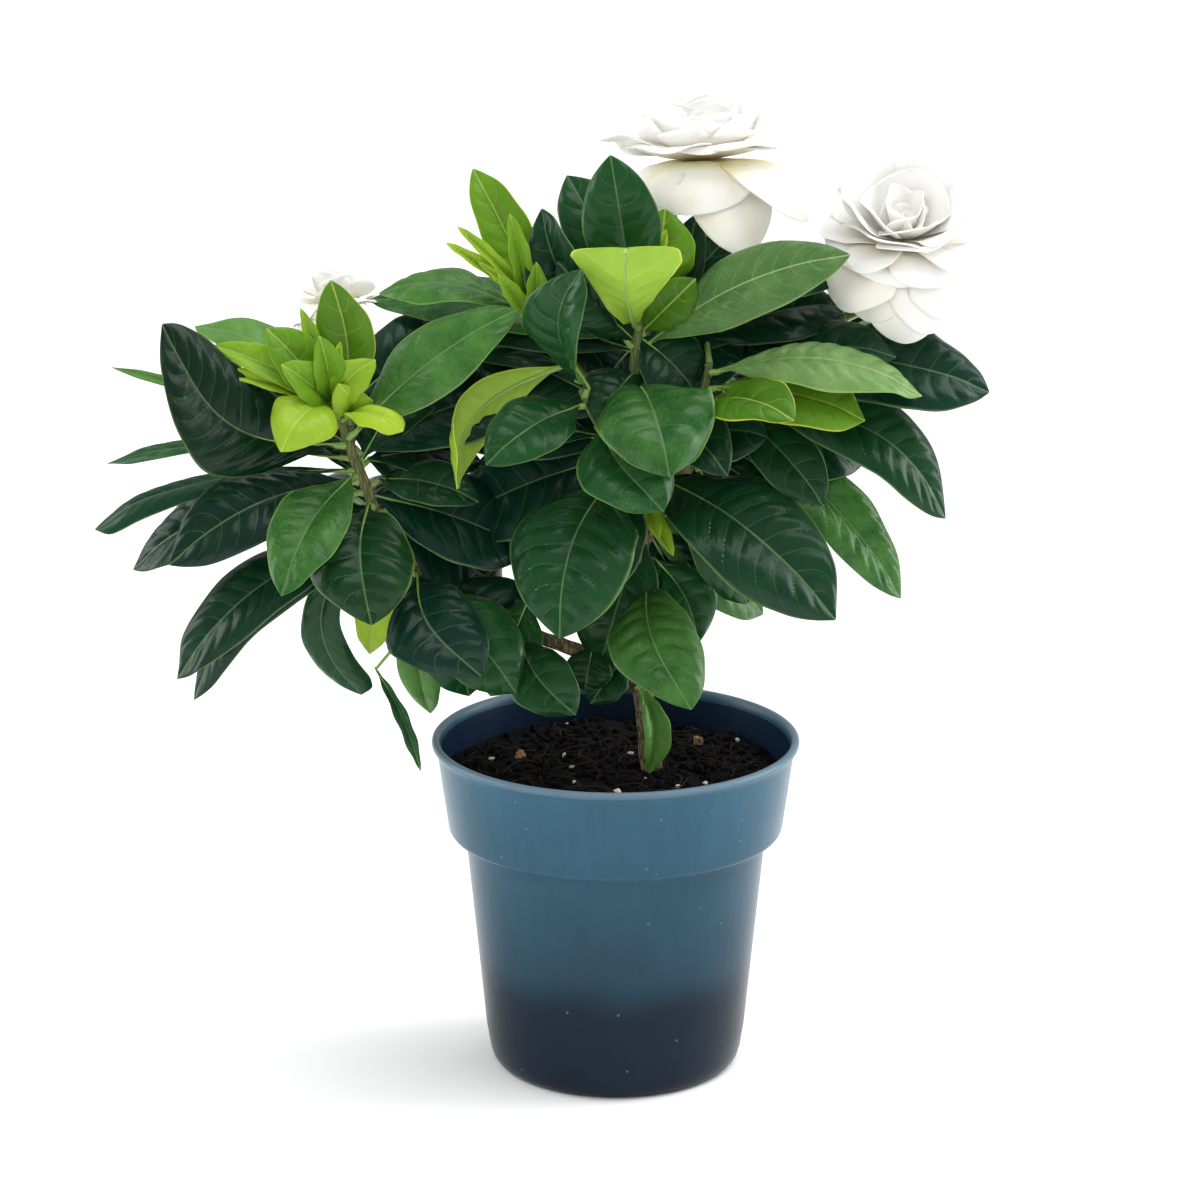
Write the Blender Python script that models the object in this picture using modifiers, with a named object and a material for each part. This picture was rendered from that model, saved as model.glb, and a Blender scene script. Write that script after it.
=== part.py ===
"""Potted gardenia: a young double-flowered shrub in a 13 cm plastic nursery pot.

Metres, +Z up. The origin is the centre of the pot's foot, on the surface that the pot stands on.
The plant's fuller side faces -Y. The pot, the soil, the woody stems, each leaf and each whorl of
petals is a solid of its own.
"""

import itertools
import math
from collections import namedtuple

import bmesh
import bpy
from mathutils import Matrix, Vector
from mathutils.bvhtree import BVHTree

MM = 0.001

# Pot
POT_HEIGHT = 120 * MM
RIM_RADIUS = 65 * MM
RIM_BEAD = 3 * MM
COLLAR_TOP_RADIUS = 63.2 * MM
COLLAR_FOOT_RADIUS = 59 * MM
COLLAR_FOOT_HEIGHT = 86 * MM
BODY_TOP_RADIUS = 53.4 * MM
BODY_FOOT_RADIUS = 46 * MM
BASE_CORNER = 12 * MM
BASE_RADIUS = 41.5 * MM
WALL = 1.5 * MM
FLOOR = 2 * MM
DRAIN_HOLES = 6
DRAIN_RADIUS = 4.5 * MM
DRAIN_CIRCLE_RADIUS = 27 * MM
TURNED_STEPS = 40

# Soil
SOIL_HEIGHT = 107 * MM
SOIL_CROWN = 1.6 * MM
SOIL_CLEARANCE = 0.5 * MM

# Leaves
BLADE_THICKNESS = 0.8 * MM
PETIOLE_HALF_WIDTH = 1.2 * MM
PETIOLE_GROOVE = 0.5 * MM
TIP_HALF_WIDTH = 0.35 * MM
WIDEST_AT = 1.25  # exponent of the outline: over 1 moves the widest point towards the tip
STATIONS = (0, 0.07, 0.18, 0.32, 0.48, 0.64, 0.79, 0.92, 1)
STEM_TO_LEAF = 1.6 * MM

# Neighbouring leaves that would cross are eased apart along this line, front leaf forwards
FRONT = Vector((0, -0.96, 0.28))
EASE_STEP = 0.5 * MM
EASE_ROUNDS = 60
EASE_MARGIN = 0.75 * MM  # half the space kept between two leaves' middle surfaces

# Flowers
PETAL_THICKNESS = 0.9 * MM
PETAL_RINGS = (0.14, 0.42, 0.72, 1)
PETAL_STEPS = 5  # points along the edge of each petal
CALYX_STEPS = 12

Material = namedtuple("Material", "colour roughness")
MATERIALS = {
    "pot_plastic": Material((0.060, 0.150, 0.225), 0.35),
    "peat": Material((0.012, 0.008, 0.006), 0.95),
    "bark": Material((0.16, 0.11, 0.06), 0.75),
    "mature_leaf": Material((0.020, 0.095, 0.030), 0.32),
    "young_leaf": Material((0.19, 0.38, 0.045), 0.38),
    "calyx": Material((0.16, 0.30, 0.07), 0.5),
    "petal": Material((0.87, 0.85, 0.76), 0.55),
}

# Stems, each a list of (x, y, z, radius) in mm, from its root end to its growing tip
STEMS = {
    "leader": [
        (14, 1, 73, 4.4),
        (13, 0, 105, 4.2),
        (10, 0, 133, 3.8),
        (7, 1, 150, 3.2),
        (10, 4, 176, 2.8),
        (7, 2, 214, 2.5),
        (6, 0, 242, 2.2),
        (8, 0, 270, 1.9),
        (9, 0, 281, 1.4),
    ],
    "left_branch": [
        (9, 0, 137, 2.9),
        (-6, 0, 148, 2.8),
        (-26, -3, 157, 2.6),
        (-45, -5, 165, 2.5),
        (-66, -9, 181, 2.4),
        (-80, -11, 196, 2.2),
        (-85, -10, 210, 2.1),
        (-91, -10, 226, 1.9),
        (-97, -11, 244, 1.3),
    ],
    "right_branch": [
        (9, 3, 188, 2.3),
        (22, 4, 212, 2.2),
        (40, 6, 235, 2.0),
        (52, 9, 250, 1.9),
        (70, 16, 262, 1.7),
        (97, 15, 276, 1.6),
    ],
    "right_shoot": [(22, 4, 212, 1.9), (28, -5, 234, 1.7), (32, -9, 257, 1.3)],
    "front_shoot": [(7, 3, 206, 2.0), (0, -6, 224, 1.9), (-8, -13, 240, 1.6), (-12, -15, 249, 1.3)],
    "rear_shoot": [(6, 0, 234, 1.9), (-10, 2, 248, 1.8), (-22, 1, 265, 1.6), (-30, 0, 278, 1.2)],
    "top_stalk": [(7, 0, 256, 1.7), (17, 10, 272, 1.6), (28, 21, 284, 1.6), (31, 26, 299.5, 1.6)],
    "left_stalk": [(-91, -10, 224, 1.5), (-93, 8, 236, 1.5), (-98, 30, 249, 1.5), (-98, 35, 253, 1.5)],
}

# A leaf grows from a stem at a height above the base (mm) and reaches its tip point (mm). Its
# upper side faces the given way. Bow arches it along the midrib and sway bends it sideways (mm);
# fold lifts the two halves towards each other and twist turns the tip (degrees).
Leaf = namedtuple("Leaf", "name stem height tip width facing bow fold twist sway kind")
M, Y = "mature_leaf", "young_leaf"
LEAVES = [
    # left shoot, front to back
    Leaf("leaf_left_01", "left_branch", 219, (-113, -55, 188), 26, (-2, -9, 5), 5, 14, 0, 2, M),
    Leaf("leaf_left_02", "left_branch", 208, (-83, -50, 176), 37, (0, -8, 6), 6, 10, 0, 3, M),
    Leaf("leaf_left_03", "left_branch", 184, (-46, -44, 156), 33, (1, -9, 4), 6, 8, 0, 7, M),
    Leaf("leaf_left_04", "left_branch", 243, (-113, -44, 237), 24, (0, -6, 7), 6, 14, 0, 0, Y),
    Leaf("leaf_left_05", "left_branch", 238, (-72, -32, 241), 15, (0, -4, 9), 5, 24, 0, 3, Y),
    Leaf("leaf_left_06", "left_branch", 240, (-97, -13, 286), 20, (0, -9, 1), -2, 12, 0, 3, Y),
    Leaf("leaf_left_07", "left_branch", 232, (-34, -16, 278), 27, (-3, -8, 5), 7, 10, 0, 0, M),
    Leaf("leaf_left_08", "left_branch", 230, (-152, -32, 276), 36, (1, -8, 5), 7, 8, 0, -12, M),
    Leaf("leaf_left_09", "left_branch", 217, (-152, -42, 195), 28, (-1, -8, 6), 8, 8, 0, 3, M),
    Leaf("leaf_left_10", "left_branch", 221, (-180, -25, 209), 19, (0, -2, 9), 11, 8, 0, 0, M),
    Leaf("leaf_left_11", "left_branch", 225, (-178, 10, 218), 24, (0, -1, 9), 5, 10, 0, 0, M),
    Leaf("leaf_left_12", "left_branch", 213, (-169, -8, 184), 26, (0, -6, 8), 8, 8, 0, 0, M),
    Leaf("leaf_left_13", "left_branch", 199, (-153, -18, 147), 26, (-4, -7, 5), 6, 10, 0, 2, M),
    Leaf("leaf_left_14", "left_branch", 192, (-149, 5, 132), 22, (-4, -7, 4), 5, 10, 0, 5, M),
    Leaf("leaf_left_15", "left_branch", 200, (-86, -12, 139), 19, (-1, -8, 2), 5, 14, 0, 11, M),
    Leaf("leaf_left_16", "left_branch", 180, (-34, -30, 145), 30, (2, -9, 3), 6, 8, 0, 0, M),
    # low on the plant
    Leaf("leaf_low_01", "left_branch", 160, (-14, -29, 137), 23, (0, -9, 3), 4, 12, 0, 3, M),
    Leaf("leaf_low_02", "leader", 140, (12, -16, 111), 15, (3, -9, 1), 3, 34, 0, -3, M),
    Leaf("leaf_low_03", "leader", 177, (26, -34, 141), 32, (1, -9, 4), 5, 10, 0, 6, M),
    Leaf("leaf_low_04", "leader", 185, (29, -12, 157), 22, (1, -9, 3), 4, 12, 0, -3, M),
    Leaf("leaf_low_05", "front_shoot", 219, (-20, -52, 172), 45, (-2, -8, 5), 8, 8, 0, 4, M),
    Leaf("leaf_low_06", "leader", 216, (76, -36, 174), 42, (2, -8, 6), 7, 8, 0, 2, M),
    # middle front
    Leaf("leaf_front_01", "leader", 249, (18, -51, 230), 42, (0, -6, 8), 7, 12, 0, 0, M),
    Leaf("leaf_front_02", "front_shoot", 237, (16, -46, 215), 32, (-1, -7, 7), 5, 12, 0, 4, M),
    Leaf("leaf_front_03", "front_shoot", 245, (-44, -45, 231), 26, (0, -7, 7), 5, 14, 0, 0, M),
    Leaf("leaf_front_04", "rear_shoot", 256, (-56, -35, 219), 27, (-5, 7, 4), 14, 10, 0, 0, Y),
    Leaf("leaf_front_05", "front_shoot", 248, (-13, -30, 293), 28, (-6, -7, 2), 4, 24, 0, -8, M),
    # right side
    Leaf("leaf_right_01", "right_shoot", 244, (59, -42, 246), 25, (1, -6, 7), 4, 12, 0, 0, Y),
    Leaf("leaf_right_02", "right_shoot", 249, (85, -29, 243), 27, (0, -6, 8), 5, 10, 0, 0, Y),
    Leaf("leaf_right_03", "right_shoot", 255, (105, -18, 249), 28, (0, -3, 9), 9, 10, 0, 0, M),
    Leaf("leaf_right_04", "right_branch", 258, (129, -5, 247), 30, (0, -7, 7), 6, 10, 0, 0, M),
    Leaf("leaf_right_05", "right_branch", 240, (115, -12, 203), 28, (2, -7, 6), 7, 8, 0, 0, M),
    Leaf("leaf_right_06", "right_branch", 234, (100, -12, 174), 27, (4, -7, 4), 7, 16, 0, 4, M),
    Leaf("leaf_right_07", "leader", 262, (78, -26, 299), 27, (-3, -7, 6), 5, 10, 0, -3, M),
    # top
    Leaf("leaf_top_01", "leader", 269, (-7, -37, 299), 39, (1, 6, 8), -4, 12, 0, 0, Y),
    Leaf("leaf_top_02", "leader", 277, (-2, -4, 327), 27, (0, -9, 1), 3, 10, 0, 0, M),
    Leaf("leaf_top_03", "leader", 262, (-26, -14, 312), 26, (-5, -8, 3), 6, 28, 0, -4, M),
    Leaf("leaf_top_04", "leader", 276, (17, -2, 309), 25, (1, -9, 1), 2, 10, 0, 0, Y),
    Leaf("leaf_top_05", "rear_shoot", 270, (-49, 10, 321), 21, (2, -9, 1), 3, 20, 0, 3, Y),
    Leaf("leaf_top_06", "rear_shoot", 274, (-82, 5, 280), 25, (0, -2, 9), 6, 8, 0, 0, M),
    # back of the plant
    Leaf("leaf_back_01", "left_branch", 218, (-132, 44, 214), 30, (-3, 6, 7), 8, 10, 0, 0, M),
    Leaf("leaf_back_02", "left_branch", 204, (-78, 52, 182), 32, (1, 8, 5), 8, 10, 0, 0, M),
    Leaf("leaf_back_03", "leader", 228, (-26, 58, 214), 34, (-2, 7, 6), 8, 10, 0, 0, M),
    Leaf("leaf_back_04", "leader", 252, (2, 56, 276), 32, (0, 6, 7), 8, 10, 0, 0, M),
    Leaf("leaf_back_05", "leader", 206, (34, 58, 190), 32, (2, 8, 5), 8, 10, 0, 0, M),
    Leaf("leaf_back_06", "right_branch", 246, (84, 56, 226), 30, (3, 7, 6), 8, 10, 0, 0, M),
]

# A whorl of petals: radius and rise of its edge above its centre, the height of its centre up the
# flower's axis, all mm; the number of petals; how deep the notches between them are; the ruffle
# of the edge (mm); the exponent of its rise, over 1 for a cup that steepens outwards; the turn
# that sets its petals between those of the whorl below (degrees).
Whorl = namedtuple("Whorl", "name radius rise height petals notch ruffle curve turn")
# A flower: where its throat is (mm), the way it faces, the length of its tube below the throat.
Flower = namedtuple("Flower", "name throat facing tube whorls")
FLOWERS = [
    Flower(
        "top_flower",
        (30, 28, 318),
        (-0.5, 1, 9),
        17,
        [
            Whorl("lower_petals", 31, -25, 1, 6, 0.26, 2.0, 1.3, 10),
            Whorl("middle_petals", 33, 9, 3, 6, 0.34, 2.2, 1.1, 40),
            Whorl("upper_petals", 23, 17, 5.5, 5, 0.26, 1.5, 1.6, 0),
        ],
    ),
    Flower(
        "right_flower",
        (98, 10, 293),
        (0.5, -3, 9),
        16,
        [
            Whorl("lower_petals", 29, -22, 1, 6, 0.28, 2.2, 1.3, 0),
            Whorl("middle_petals", 28, 5, 3, 6, 0.30, 2.2, 1.2, 30),
            Whorl("upper_petals", 22, 21, 5.5, 5, 0.26, 1.5, 1.6, 0),
        ],
    ),
    Flower(
        "left_flower",
        (-98, 38, 265),
        (0, 2, 9),
        10,
        [
            Whorl("lower_petals", 17, 3, 1, 6, 0.34, 1.0, 1.1, 0),
            Whorl("upper_petals", 14, 12, 3, 5, 0.28, 1.0, 1.3, 30),
        ],
    ),
]


def clear_scene():
    for obj in list(bpy.data.objects):
        bpy.data.objects.remove(obj, do_unlink=True)


def collection(name):
    made = bpy.data.collections.new(name)
    bpy.context.scene.collection.children.link(made)
    return made


def make_materials():
    for name, look in MATERIALS.items():
        material = bpy.data.materials.new(name)
        material.use_nodes = True
        shader = material.node_tree.nodes["Principled BSDF"]
        shader.inputs["Base Color"].default_value = (*look.colour, 1)
        shader.inputs["Roughness"].default_value = look.roughness
        material.diffuse_color = (*look.colour, 1)


def add_object(name, data, group, material):
    obj = bpy.data.objects.new(name, data)
    group.objects.link(obj)
    if not data.materials:
        data.materials.append(bpy.data.materials[material])
    return obj


def as_cutter(obj):
    obj.hide_render = True
    obj.display_type = "WIRE"


def add_boolean(obj, other, operation):
    modifier = obj.modifiers.new(f"{operation.lower()} {other.name}", "BOOLEAN")
    modifier.object = other
    modifier.operation = operation


def turned(name, profile, group, material, steps=TURNED_STEPS):
    """A solid turned about Z from a profile of (radius, height) that runs down its outer side."""
    mesh = bpy.data.meshes.new(name)
    points = [(radius, 0, height) for radius, height in profile]
    mesh.from_pydata(points, [(i, i + 1) for i in range(len(points) - 1)], [])
    obj = add_object(name, mesh, group, material)
    screw = obj.modifiers.new("turn", "SCREW")
    screw.steps = screw.render_steps = steps
    screw.use_merge_vertices = True
    screw.merge_threshold = 1e-5
    screw.use_smooth_shade = True
    return obj


def stem_mesh(name, points, widen=0):
    """A tapered tube through the points, as a mesh with welded caps."""
    curve = bpy.data.curves.new(name, "CURVE")
    curve.dimensions = "3D"
    curve.bevel_depth = MM
    curve.bevel_resolution = 1
    curve.use_fill_caps = True
    curve.resolution_u = 3
    spline = curve.splines.new("BEZIER")
    spline.bezier_points.add(len(points) - 1)
    for knot, (x, y, z, radius) in zip(spline.bezier_points, points):
        knot.co = Vector((x, y, z)) * MM
        knot.radius = radius + widen
        knot.handle_left_type = knot.handle_right_type = "AUTO"
    guide = bpy.data.objects.new(name, curve)
    bpy.context.scene.collection.objects.link(guide)
    evaluated = guide.evaluated_get(bpy.context.evaluated_depsgraph_get())
    mesh = bpy.data.meshes.new_from_object(evaluated)
    bpy.data.objects.remove(guide)
    bm = bmesh.new()
    bm.from_mesh(mesh)
    bmesh.ops.remove_doubles(bm, verts=bm.verts, dist=1e-6)
    bmesh.ops.recalc_face_normals(bm, faces=bm.faces)
    bm.to_mesh(mesh)
    bm.free()
    mesh.shade_smooth()
    return mesh


def make_pot(parts, cutters):
    lip = POT_HEIGHT - RIM_BEAD
    shelf = COLLAR_FOOT_HEIGHT + WALL
    profile = [
        (0, FLOOR),
        (BASE_RADIUS - WALL, FLOOR),
        (BODY_FOOT_RADIUS - WALL, BASE_CORNER),
        (BODY_TOP_RADIUS - WALL, shelf),
        (COLLAR_FOOT_RADIUS - WALL, shelf + 0.5 * MM),
        (COLLAR_TOP_RADIUS - WALL, lip),
        (COLLAR_TOP_RADIUS - WALL + 0.6 * MM, POT_HEIGHT),
        (RIM_RADIUS - 0.8 * MM, POT_HEIGHT),
        (RIM_RADIUS, POT_HEIGHT - 1 * MM),
        (RIM_RADIUS, lip + 0.6 * MM),
        (COLLAR_TOP_RADIUS, lip),
        (COLLAR_FOOT_RADIUS, COLLAR_FOOT_HEIGHT + 0.8 * MM),
        (COLLAR_FOOT_RADIUS - 0.8 * MM, COLLAR_FOOT_HEIGHT),
        (BODY_TOP_RADIUS, COLLAR_FOOT_HEIGHT - 0.8 * MM),
        (BODY_FOOT_RADIUS, BASE_CORNER),
        (BODY_FOOT_RADIUS - 1.2 * MM, BASE_CORNER * 0.4),
        (BASE_RADIUS, 0),
        (0, 0),
    ]
    pot = turned("pot", profile, parts, "pot_plastic")
    drill = bpy.data.meshes.new("drain_drill")
    bm = bmesh.new()
    bmesh.ops.create_cone(
        bm,
        cap_ends=True,
        segments=16,
        radius1=DRAIN_RADIUS,
        radius2=DRAIN_RADIUS,
        depth=4 * FLOOR,
    )
    bm.to_mesh(drill)
    bm.free()
    for i in range(DRAIN_HOLES):
        cutter = add_object(f"drain_drill_{i + 1}", drill, cutters, "pot_plastic")
        angle = math.tau * (i + 0.5) / DRAIN_HOLES
        cutter.location = (
            DRAIN_CIRCLE_RADIUS * math.cos(angle),
            DRAIN_CIRCLE_RADIUS * math.sin(angle),
            0,
        )
        as_cutter(cutter)
        add_boolean(pot, cutter, "DIFFERENCE")
    return pot


def make_soil(parts, cutters):
    """The root ball: it fills the pot to below the rim, with a bore where the trunk stands."""
    clear = WALL + SOIL_CLEARANCE
    floor = FLOOR + SOIL_CLEARANCE
    shelf = COLLAR_FOOT_HEIGHT + clear + 0.5 * MM
    rise = (SOIL_HEIGHT - COLLAR_FOOT_HEIGHT) / (POT_HEIGHT - COLLAR_FOOT_HEIGHT)
    edge = COLLAR_FOOT_RADIUS + rise * (COLLAR_TOP_RADIUS - COLLAR_FOOT_RADIUS) - clear - 0.3 * MM
    profile = [
        (0, SOIL_HEIGHT + SOIL_CROWN),
        (edge * 0.35, SOIL_HEIGHT + SOIL_CROWN * 0.8),
        (edge * 0.75, SOIL_HEIGHT + SOIL_CROWN * 0.9),
        (edge - 2 * MM, SOIL_HEIGHT + SOIL_CROWN * 0.4),
        (edge, SOIL_HEIGHT - 1 * MM),
        (COLLAR_FOOT_RADIUS - clear - 0.3 * MM, shelf),
        (BODY_TOP_RADIUS - clear - 0.3 * MM, shelf - 0.3 * MM),
        (BODY_FOOT_RADIUS - clear - 0.2 * MM, BASE_CORNER),
        (BASE_RADIUS - clear - 1 * MM, floor),
        (0, floor),
    ]
    soil = turned("soil", profile, parts, "peat")
    below_ground = STEMS["leader"][:3]
    x, y, z, radius = below_ground[0]
    bore_path = [(x, y, z - 0.5, radius)] + below_ground[1:]
    bore = add_object("trunk_bore", stem_mesh("trunk_bore", bore_path, 0.45), cutters, "peat")
    as_cutter(bore)
    add_boolean(soil, bore, "DIFFERENCE")
    return soil


def make_stems(parts, cutters):
    """The woody plant: trunk, branches, shoots and flower stalks, grown as one piece."""
    stems = add_object("stems", stem_mesh("stems", STEMS["leader"]), parts, "bark")
    for name, points in STEMS.items():
        if name == "leader":
            continue
        branch = add_object(name, stem_mesh(name, points), cutters, "bark")
        as_cutter(branch)
        add_boolean(stems, branch, "UNION")
    return stems


def outline(t):
    """Half-width of a leaf at the fraction t of its length, where its widest half-width is 1."""
    return math.sin(math.pi * t**WIDEST_AT) ** 0.9


def stem_point(name, height):
    """The middle, the direction and the radius of a stem where it reaches this height."""
    points = STEMS[name]
    for low, high in zip(points, points[1:]):
        if high[2] >= height:
            break
    share = min(1, (height - low[2]) / (high[2] - low[2]))
    middle = Vector(low[:3]).lerp(Vector(high[:3]), share) * MM
    direction = (Vector(high[:3]) - Vector(low[:3])).normalized()
    return middle, direction, (low[3] + share * (high[3] - low[3])) * MM


def leaf_sections(leaf, ease):
    """(left edge, midrib, right edge) at each station along the leaf, from base to tip."""
    middle, direction, radius = stem_point(leaf.stem, leaf.height)
    tip = Vector(leaf.tip) * MM + FRONT * ease
    outwards = tip - middle
    outwards -= direction * outwards.dot(direction)
    base = middle + outwards.normalized() * (radius + STEM_TO_LEAF)
    length = (tip - base).length
    along = (tip - base).normalized()
    up = Vector(leaf.facing)
    up = (up - along * up.dot(along)).normalized()
    side = along.cross(up)
    push = FRONT - along * FRONT.dot(along)
    sections = []
    for t in STATIONS:
        arch = math.sin(math.pi * t)
        centre = base + along * length * t + (up * leaf.bow + side * leaf.sway) * MM * arch
        centre += push * ease * (1 - (1 - t) ** 2.2 - t)
        turn = Matrix.Rotation(math.radians(leaf.twist) * t, 3, along)
        least = PETIOLE_HALF_WIDTH if t < 0.5 else TIP_HALF_WIDTH
        half = max(leaf.width / 2 * MM * outline(t), least)
        lift = math.radians(leaf.fold) * arch**0.3 if t < 1 else 0
        left = turn @ (up * math.sin(lift) - side * math.cos(lift)) * half
        right = turn @ (up * math.sin(lift) + side * math.cos(lift)) * half
        groove = up * PETIOLE_GROOVE if t == 0 else Vector()
        sections.append((centre + left, centre - groove, centre + right))
    return sections


def blade_faces(sections, first=0):
    """The quads of the sheet that joins the sections, as indices into all their points in turn."""
    columns = len(sections[0])
    quads = []
    for row, column in itertools.product(range(len(sections) - 1), range(columns - 1)):
        corner = first + row * columns + column
        quads.append((corner, corner + 1, corner + columns + 1, corner + columns))
    return quads


def guard(sections, margin):
    """The sheet's two sides, moved out by a margin, for finding what comes nearer than that."""
    points = []
    quads = []
    for sign in (-1, 1):
        quads += blade_faces(sections, len(points))
        for row, section in enumerate(sections):
            before = sections[max(row - 1, 0)][1]
            after = sections[min(row + 1, len(sections) - 1)][1]
            normal = (section[-1] - section[0]).cross(after - before).normalized()
            points += [point + normal * margin * sign for point in section]
    return BVHTree.FromPolygons(points, quads)


def solid_tree(obj):
    graph = bpy.context.evaluated_depsgraph_get()
    bm = bmesh.new()
    bm.from_object(obj, graph)
    bm.transform(obj.matrix_world)
    tree = BVHTree.FromBMesh(bm)
    bm.free()
    return tree


def eased_sections(fixed):
    """Each leaf's sections, after the leaves are eased forwards or back until none crosses."""
    bpy.context.view_layer.update()
    obstacles = [solid_tree(obj) for obj in fixed]
    ease = {leaf.name: 0 for leaf in LEAVES}
    for _ in range(EASE_ROUNDS):
        sections = {leaf.name: leaf_sections(leaf, ease[leaf.name]) for leaf in LEAVES}
        wide = {name: guard(rows, EASE_MARGIN) for name, rows in sections.items()}
        thin = {name: guard(rows, BLADE_THICKNESS) for name, rows in sections.items()}
        crossings = [
            (front, back)
            for front, back in itertools.combinations(wide, 2)
            if wide[front].overlap(wide[back])
        ]
        for front, back in crossings:
            ease[front] += EASE_STEP
            ease[back] -= EASE_STEP
        blocked = [name for name in thin if any(thin[name].overlap(tree) for tree in obstacles)]
        for name in blocked:
            ease[name] += EASE_STEP
        if not crossings and not blocked:
            break
    print("leaves that still cross:", crossings, blocked)
    return sections


def make_leaves(parts, fixed):
    sections = eased_sections(fixed)
    for leaf in LEAVES:
        rows = sections[leaf.name]
        mesh = bpy.data.meshes.new(leaf.name)
        mesh.from_pydata([point for row in rows for point in row], [], blade_faces(rows))
        mesh.shade_smooth()
        obj = add_object(leaf.name, mesh, parts, leaf.kind)
        add_thickness(obj, BLADE_THICKNESS)


def add_thickness(obj, thickness):
    shell = obj.modifiers.new("thickness", "SOLIDIFY")
    shell.thickness = thickness
    shell.offset = 0


def make_whorl(flower, whorl, parts, holder):
    """A ring of petals joined at the base: an open dish with a notched, ruffled edge."""
    name = f"{flower.name}_{whorl.name}"
    steps = whorl.petals * PETAL_STEPS
    bm = bmesh.new()
    centre = bm.verts.new((0, 0, 0))
    rings = []
    for share in PETAL_RINGS:
        ring = []
        for step in range(steps):
            angle = math.tau * step / steps
            lobe = abs(math.cos(angle * whorl.petals / 2)) ** 0.6
            reach = 1 - whorl.notch * (1 - lobe) * share**2
            radius = whorl.radius * share * reach
            wave = math.sin(angle * whorl.petals * 1.5 + 1) * whorl.ruffle * share**3
            rise = whorl.rise * (share * reach) ** whorl.curve + wave
            turned_angle = angle + math.radians(whorl.turn)
            spot = (radius * math.cos(turned_angle), radius * math.sin(turned_angle), rise)
            ring.append(bm.verts.new(Vector(spot) * MM))
        rings.append(ring)
    for i in range(steps):
        j = (i + 1) % steps
        bm.faces.new((centre, rings[0][i], rings[0][j]))
        for inner, outer in zip(rings, rings[1:]):
            bm.faces.new((inner[i], outer[i], outer[j], inner[j]))
    mesh = bpy.data.meshes.new(name)
    bm.to_mesh(mesh)
    bm.free()
    mesh.shade_smooth()
    obj = add_object(name, mesh, parts, "petal")
    obj.parent = holder
    obj.location.z = whorl.height * MM
    add_thickness(obj, PETAL_THICKNESS)
    return obj


def make_flower(flower, parts):
    """A flower on an empty at its throat: the green calyx with its tube, and whorls of petals."""
    holder = bpy.data.objects.new(flower.name, None)
    parts.objects.link(holder)
    holder.location = Vector(flower.throat) * MM
    holder.rotation_euler = Vector(flower.facing).to_track_quat("Z", "Y").to_euler()
    profile = [
        (0, -0.1 * flower.tube),
        (2, -0.1 * flower.tube),
        (1.8, -0.3 * flower.tube),
        (3.4, -0.55 * flower.tube),
        (3.2, -0.85 * flower.tube),
        (1.7, -flower.tube),
        (0, -flower.tube),
    ]
    profile = [(radius * MM, height * MM) for radius, height in profile]
    tube = turned(f"{flower.name}_calyx", profile, parts, "calyx", CALYX_STEPS)
    tube.parent = holder
    return [tube] + [make_whorl(flower, whorl, parts, holder) for whorl in flower.whorls]


def main():
    clear_scene()
    make_materials()
    parts = collection("potted_gardenia")
    cutters = collection("cutters")
    pot = make_pot(parts, cutters)
    soil = make_soil(parts, cutters)
    stems = make_stems(parts, cutters)
    flowers = [piece for flower in FLOWERS for piece in make_flower(flower, parts)]
    make_leaves(parts, [pot, soil, stems, *flowers])


main()
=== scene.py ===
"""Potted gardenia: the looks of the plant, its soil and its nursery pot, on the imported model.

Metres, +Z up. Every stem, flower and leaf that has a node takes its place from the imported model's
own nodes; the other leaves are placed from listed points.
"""

import math
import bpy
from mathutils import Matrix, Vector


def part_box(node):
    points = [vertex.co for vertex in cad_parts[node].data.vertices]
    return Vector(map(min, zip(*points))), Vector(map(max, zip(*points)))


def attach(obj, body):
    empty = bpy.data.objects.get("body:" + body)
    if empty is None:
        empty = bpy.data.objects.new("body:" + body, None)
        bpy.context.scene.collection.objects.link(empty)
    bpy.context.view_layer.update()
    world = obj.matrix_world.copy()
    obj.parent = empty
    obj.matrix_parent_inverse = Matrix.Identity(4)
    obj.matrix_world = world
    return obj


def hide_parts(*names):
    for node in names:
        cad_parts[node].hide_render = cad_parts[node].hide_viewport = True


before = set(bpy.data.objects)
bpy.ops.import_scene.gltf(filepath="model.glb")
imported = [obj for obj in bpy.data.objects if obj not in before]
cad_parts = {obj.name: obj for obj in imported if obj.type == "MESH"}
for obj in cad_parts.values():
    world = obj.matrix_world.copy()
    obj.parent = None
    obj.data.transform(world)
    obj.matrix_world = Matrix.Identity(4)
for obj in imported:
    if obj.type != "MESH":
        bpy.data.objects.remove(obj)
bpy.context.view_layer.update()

import zlib
from collections import namedtuple
from functools import partial

import bmesh
import bpy
import numpy as np
from mathutils import Vector, noise
from mathutils.bvhtree import BVHTree

MM = 0.001
UP = np.array((0.0, 0.0, 1.0))

# ---------------------------------------------------------------- shader tools


def linear(hex_colour):
    """A linear colour from an sRGB hex value."""
    parts = [int(hex_colour[i : i + 2], 16) / 255 for i in (1, 3, 5)]
    return (*((p / 12.92 if p <= 0.04045 else ((p + 0.055) / 1.055) ** 2.4) for p in parts), 1.0)


def cells(size_mm):
    """The scale of a pattern whose cells are this many millimetres across."""
    return 1 / (size_mm * MM)


def add_node(tree, kind, settings, inputs):
    """Adds a shader node. An input is a number, a hex colour, a node or one of a node's outputs."""
    made = tree.nodes.new("ShaderNode" + kind)
    for name, value in settings.items():
        setattr(made, name, value)
    for name, value in inputs.items():
        if isinstance(value, bpy.types.Node):
            value = next(out for out in value.outputs if out.enabled)
        if isinstance(value, str):
            value = linear(value)
        if isinstance(value, bpy.types.NodeSocket):
            tree.links.new(value, made.inputs[name])
        else:
            made.inputs[name].default_value = value
    return made


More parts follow.
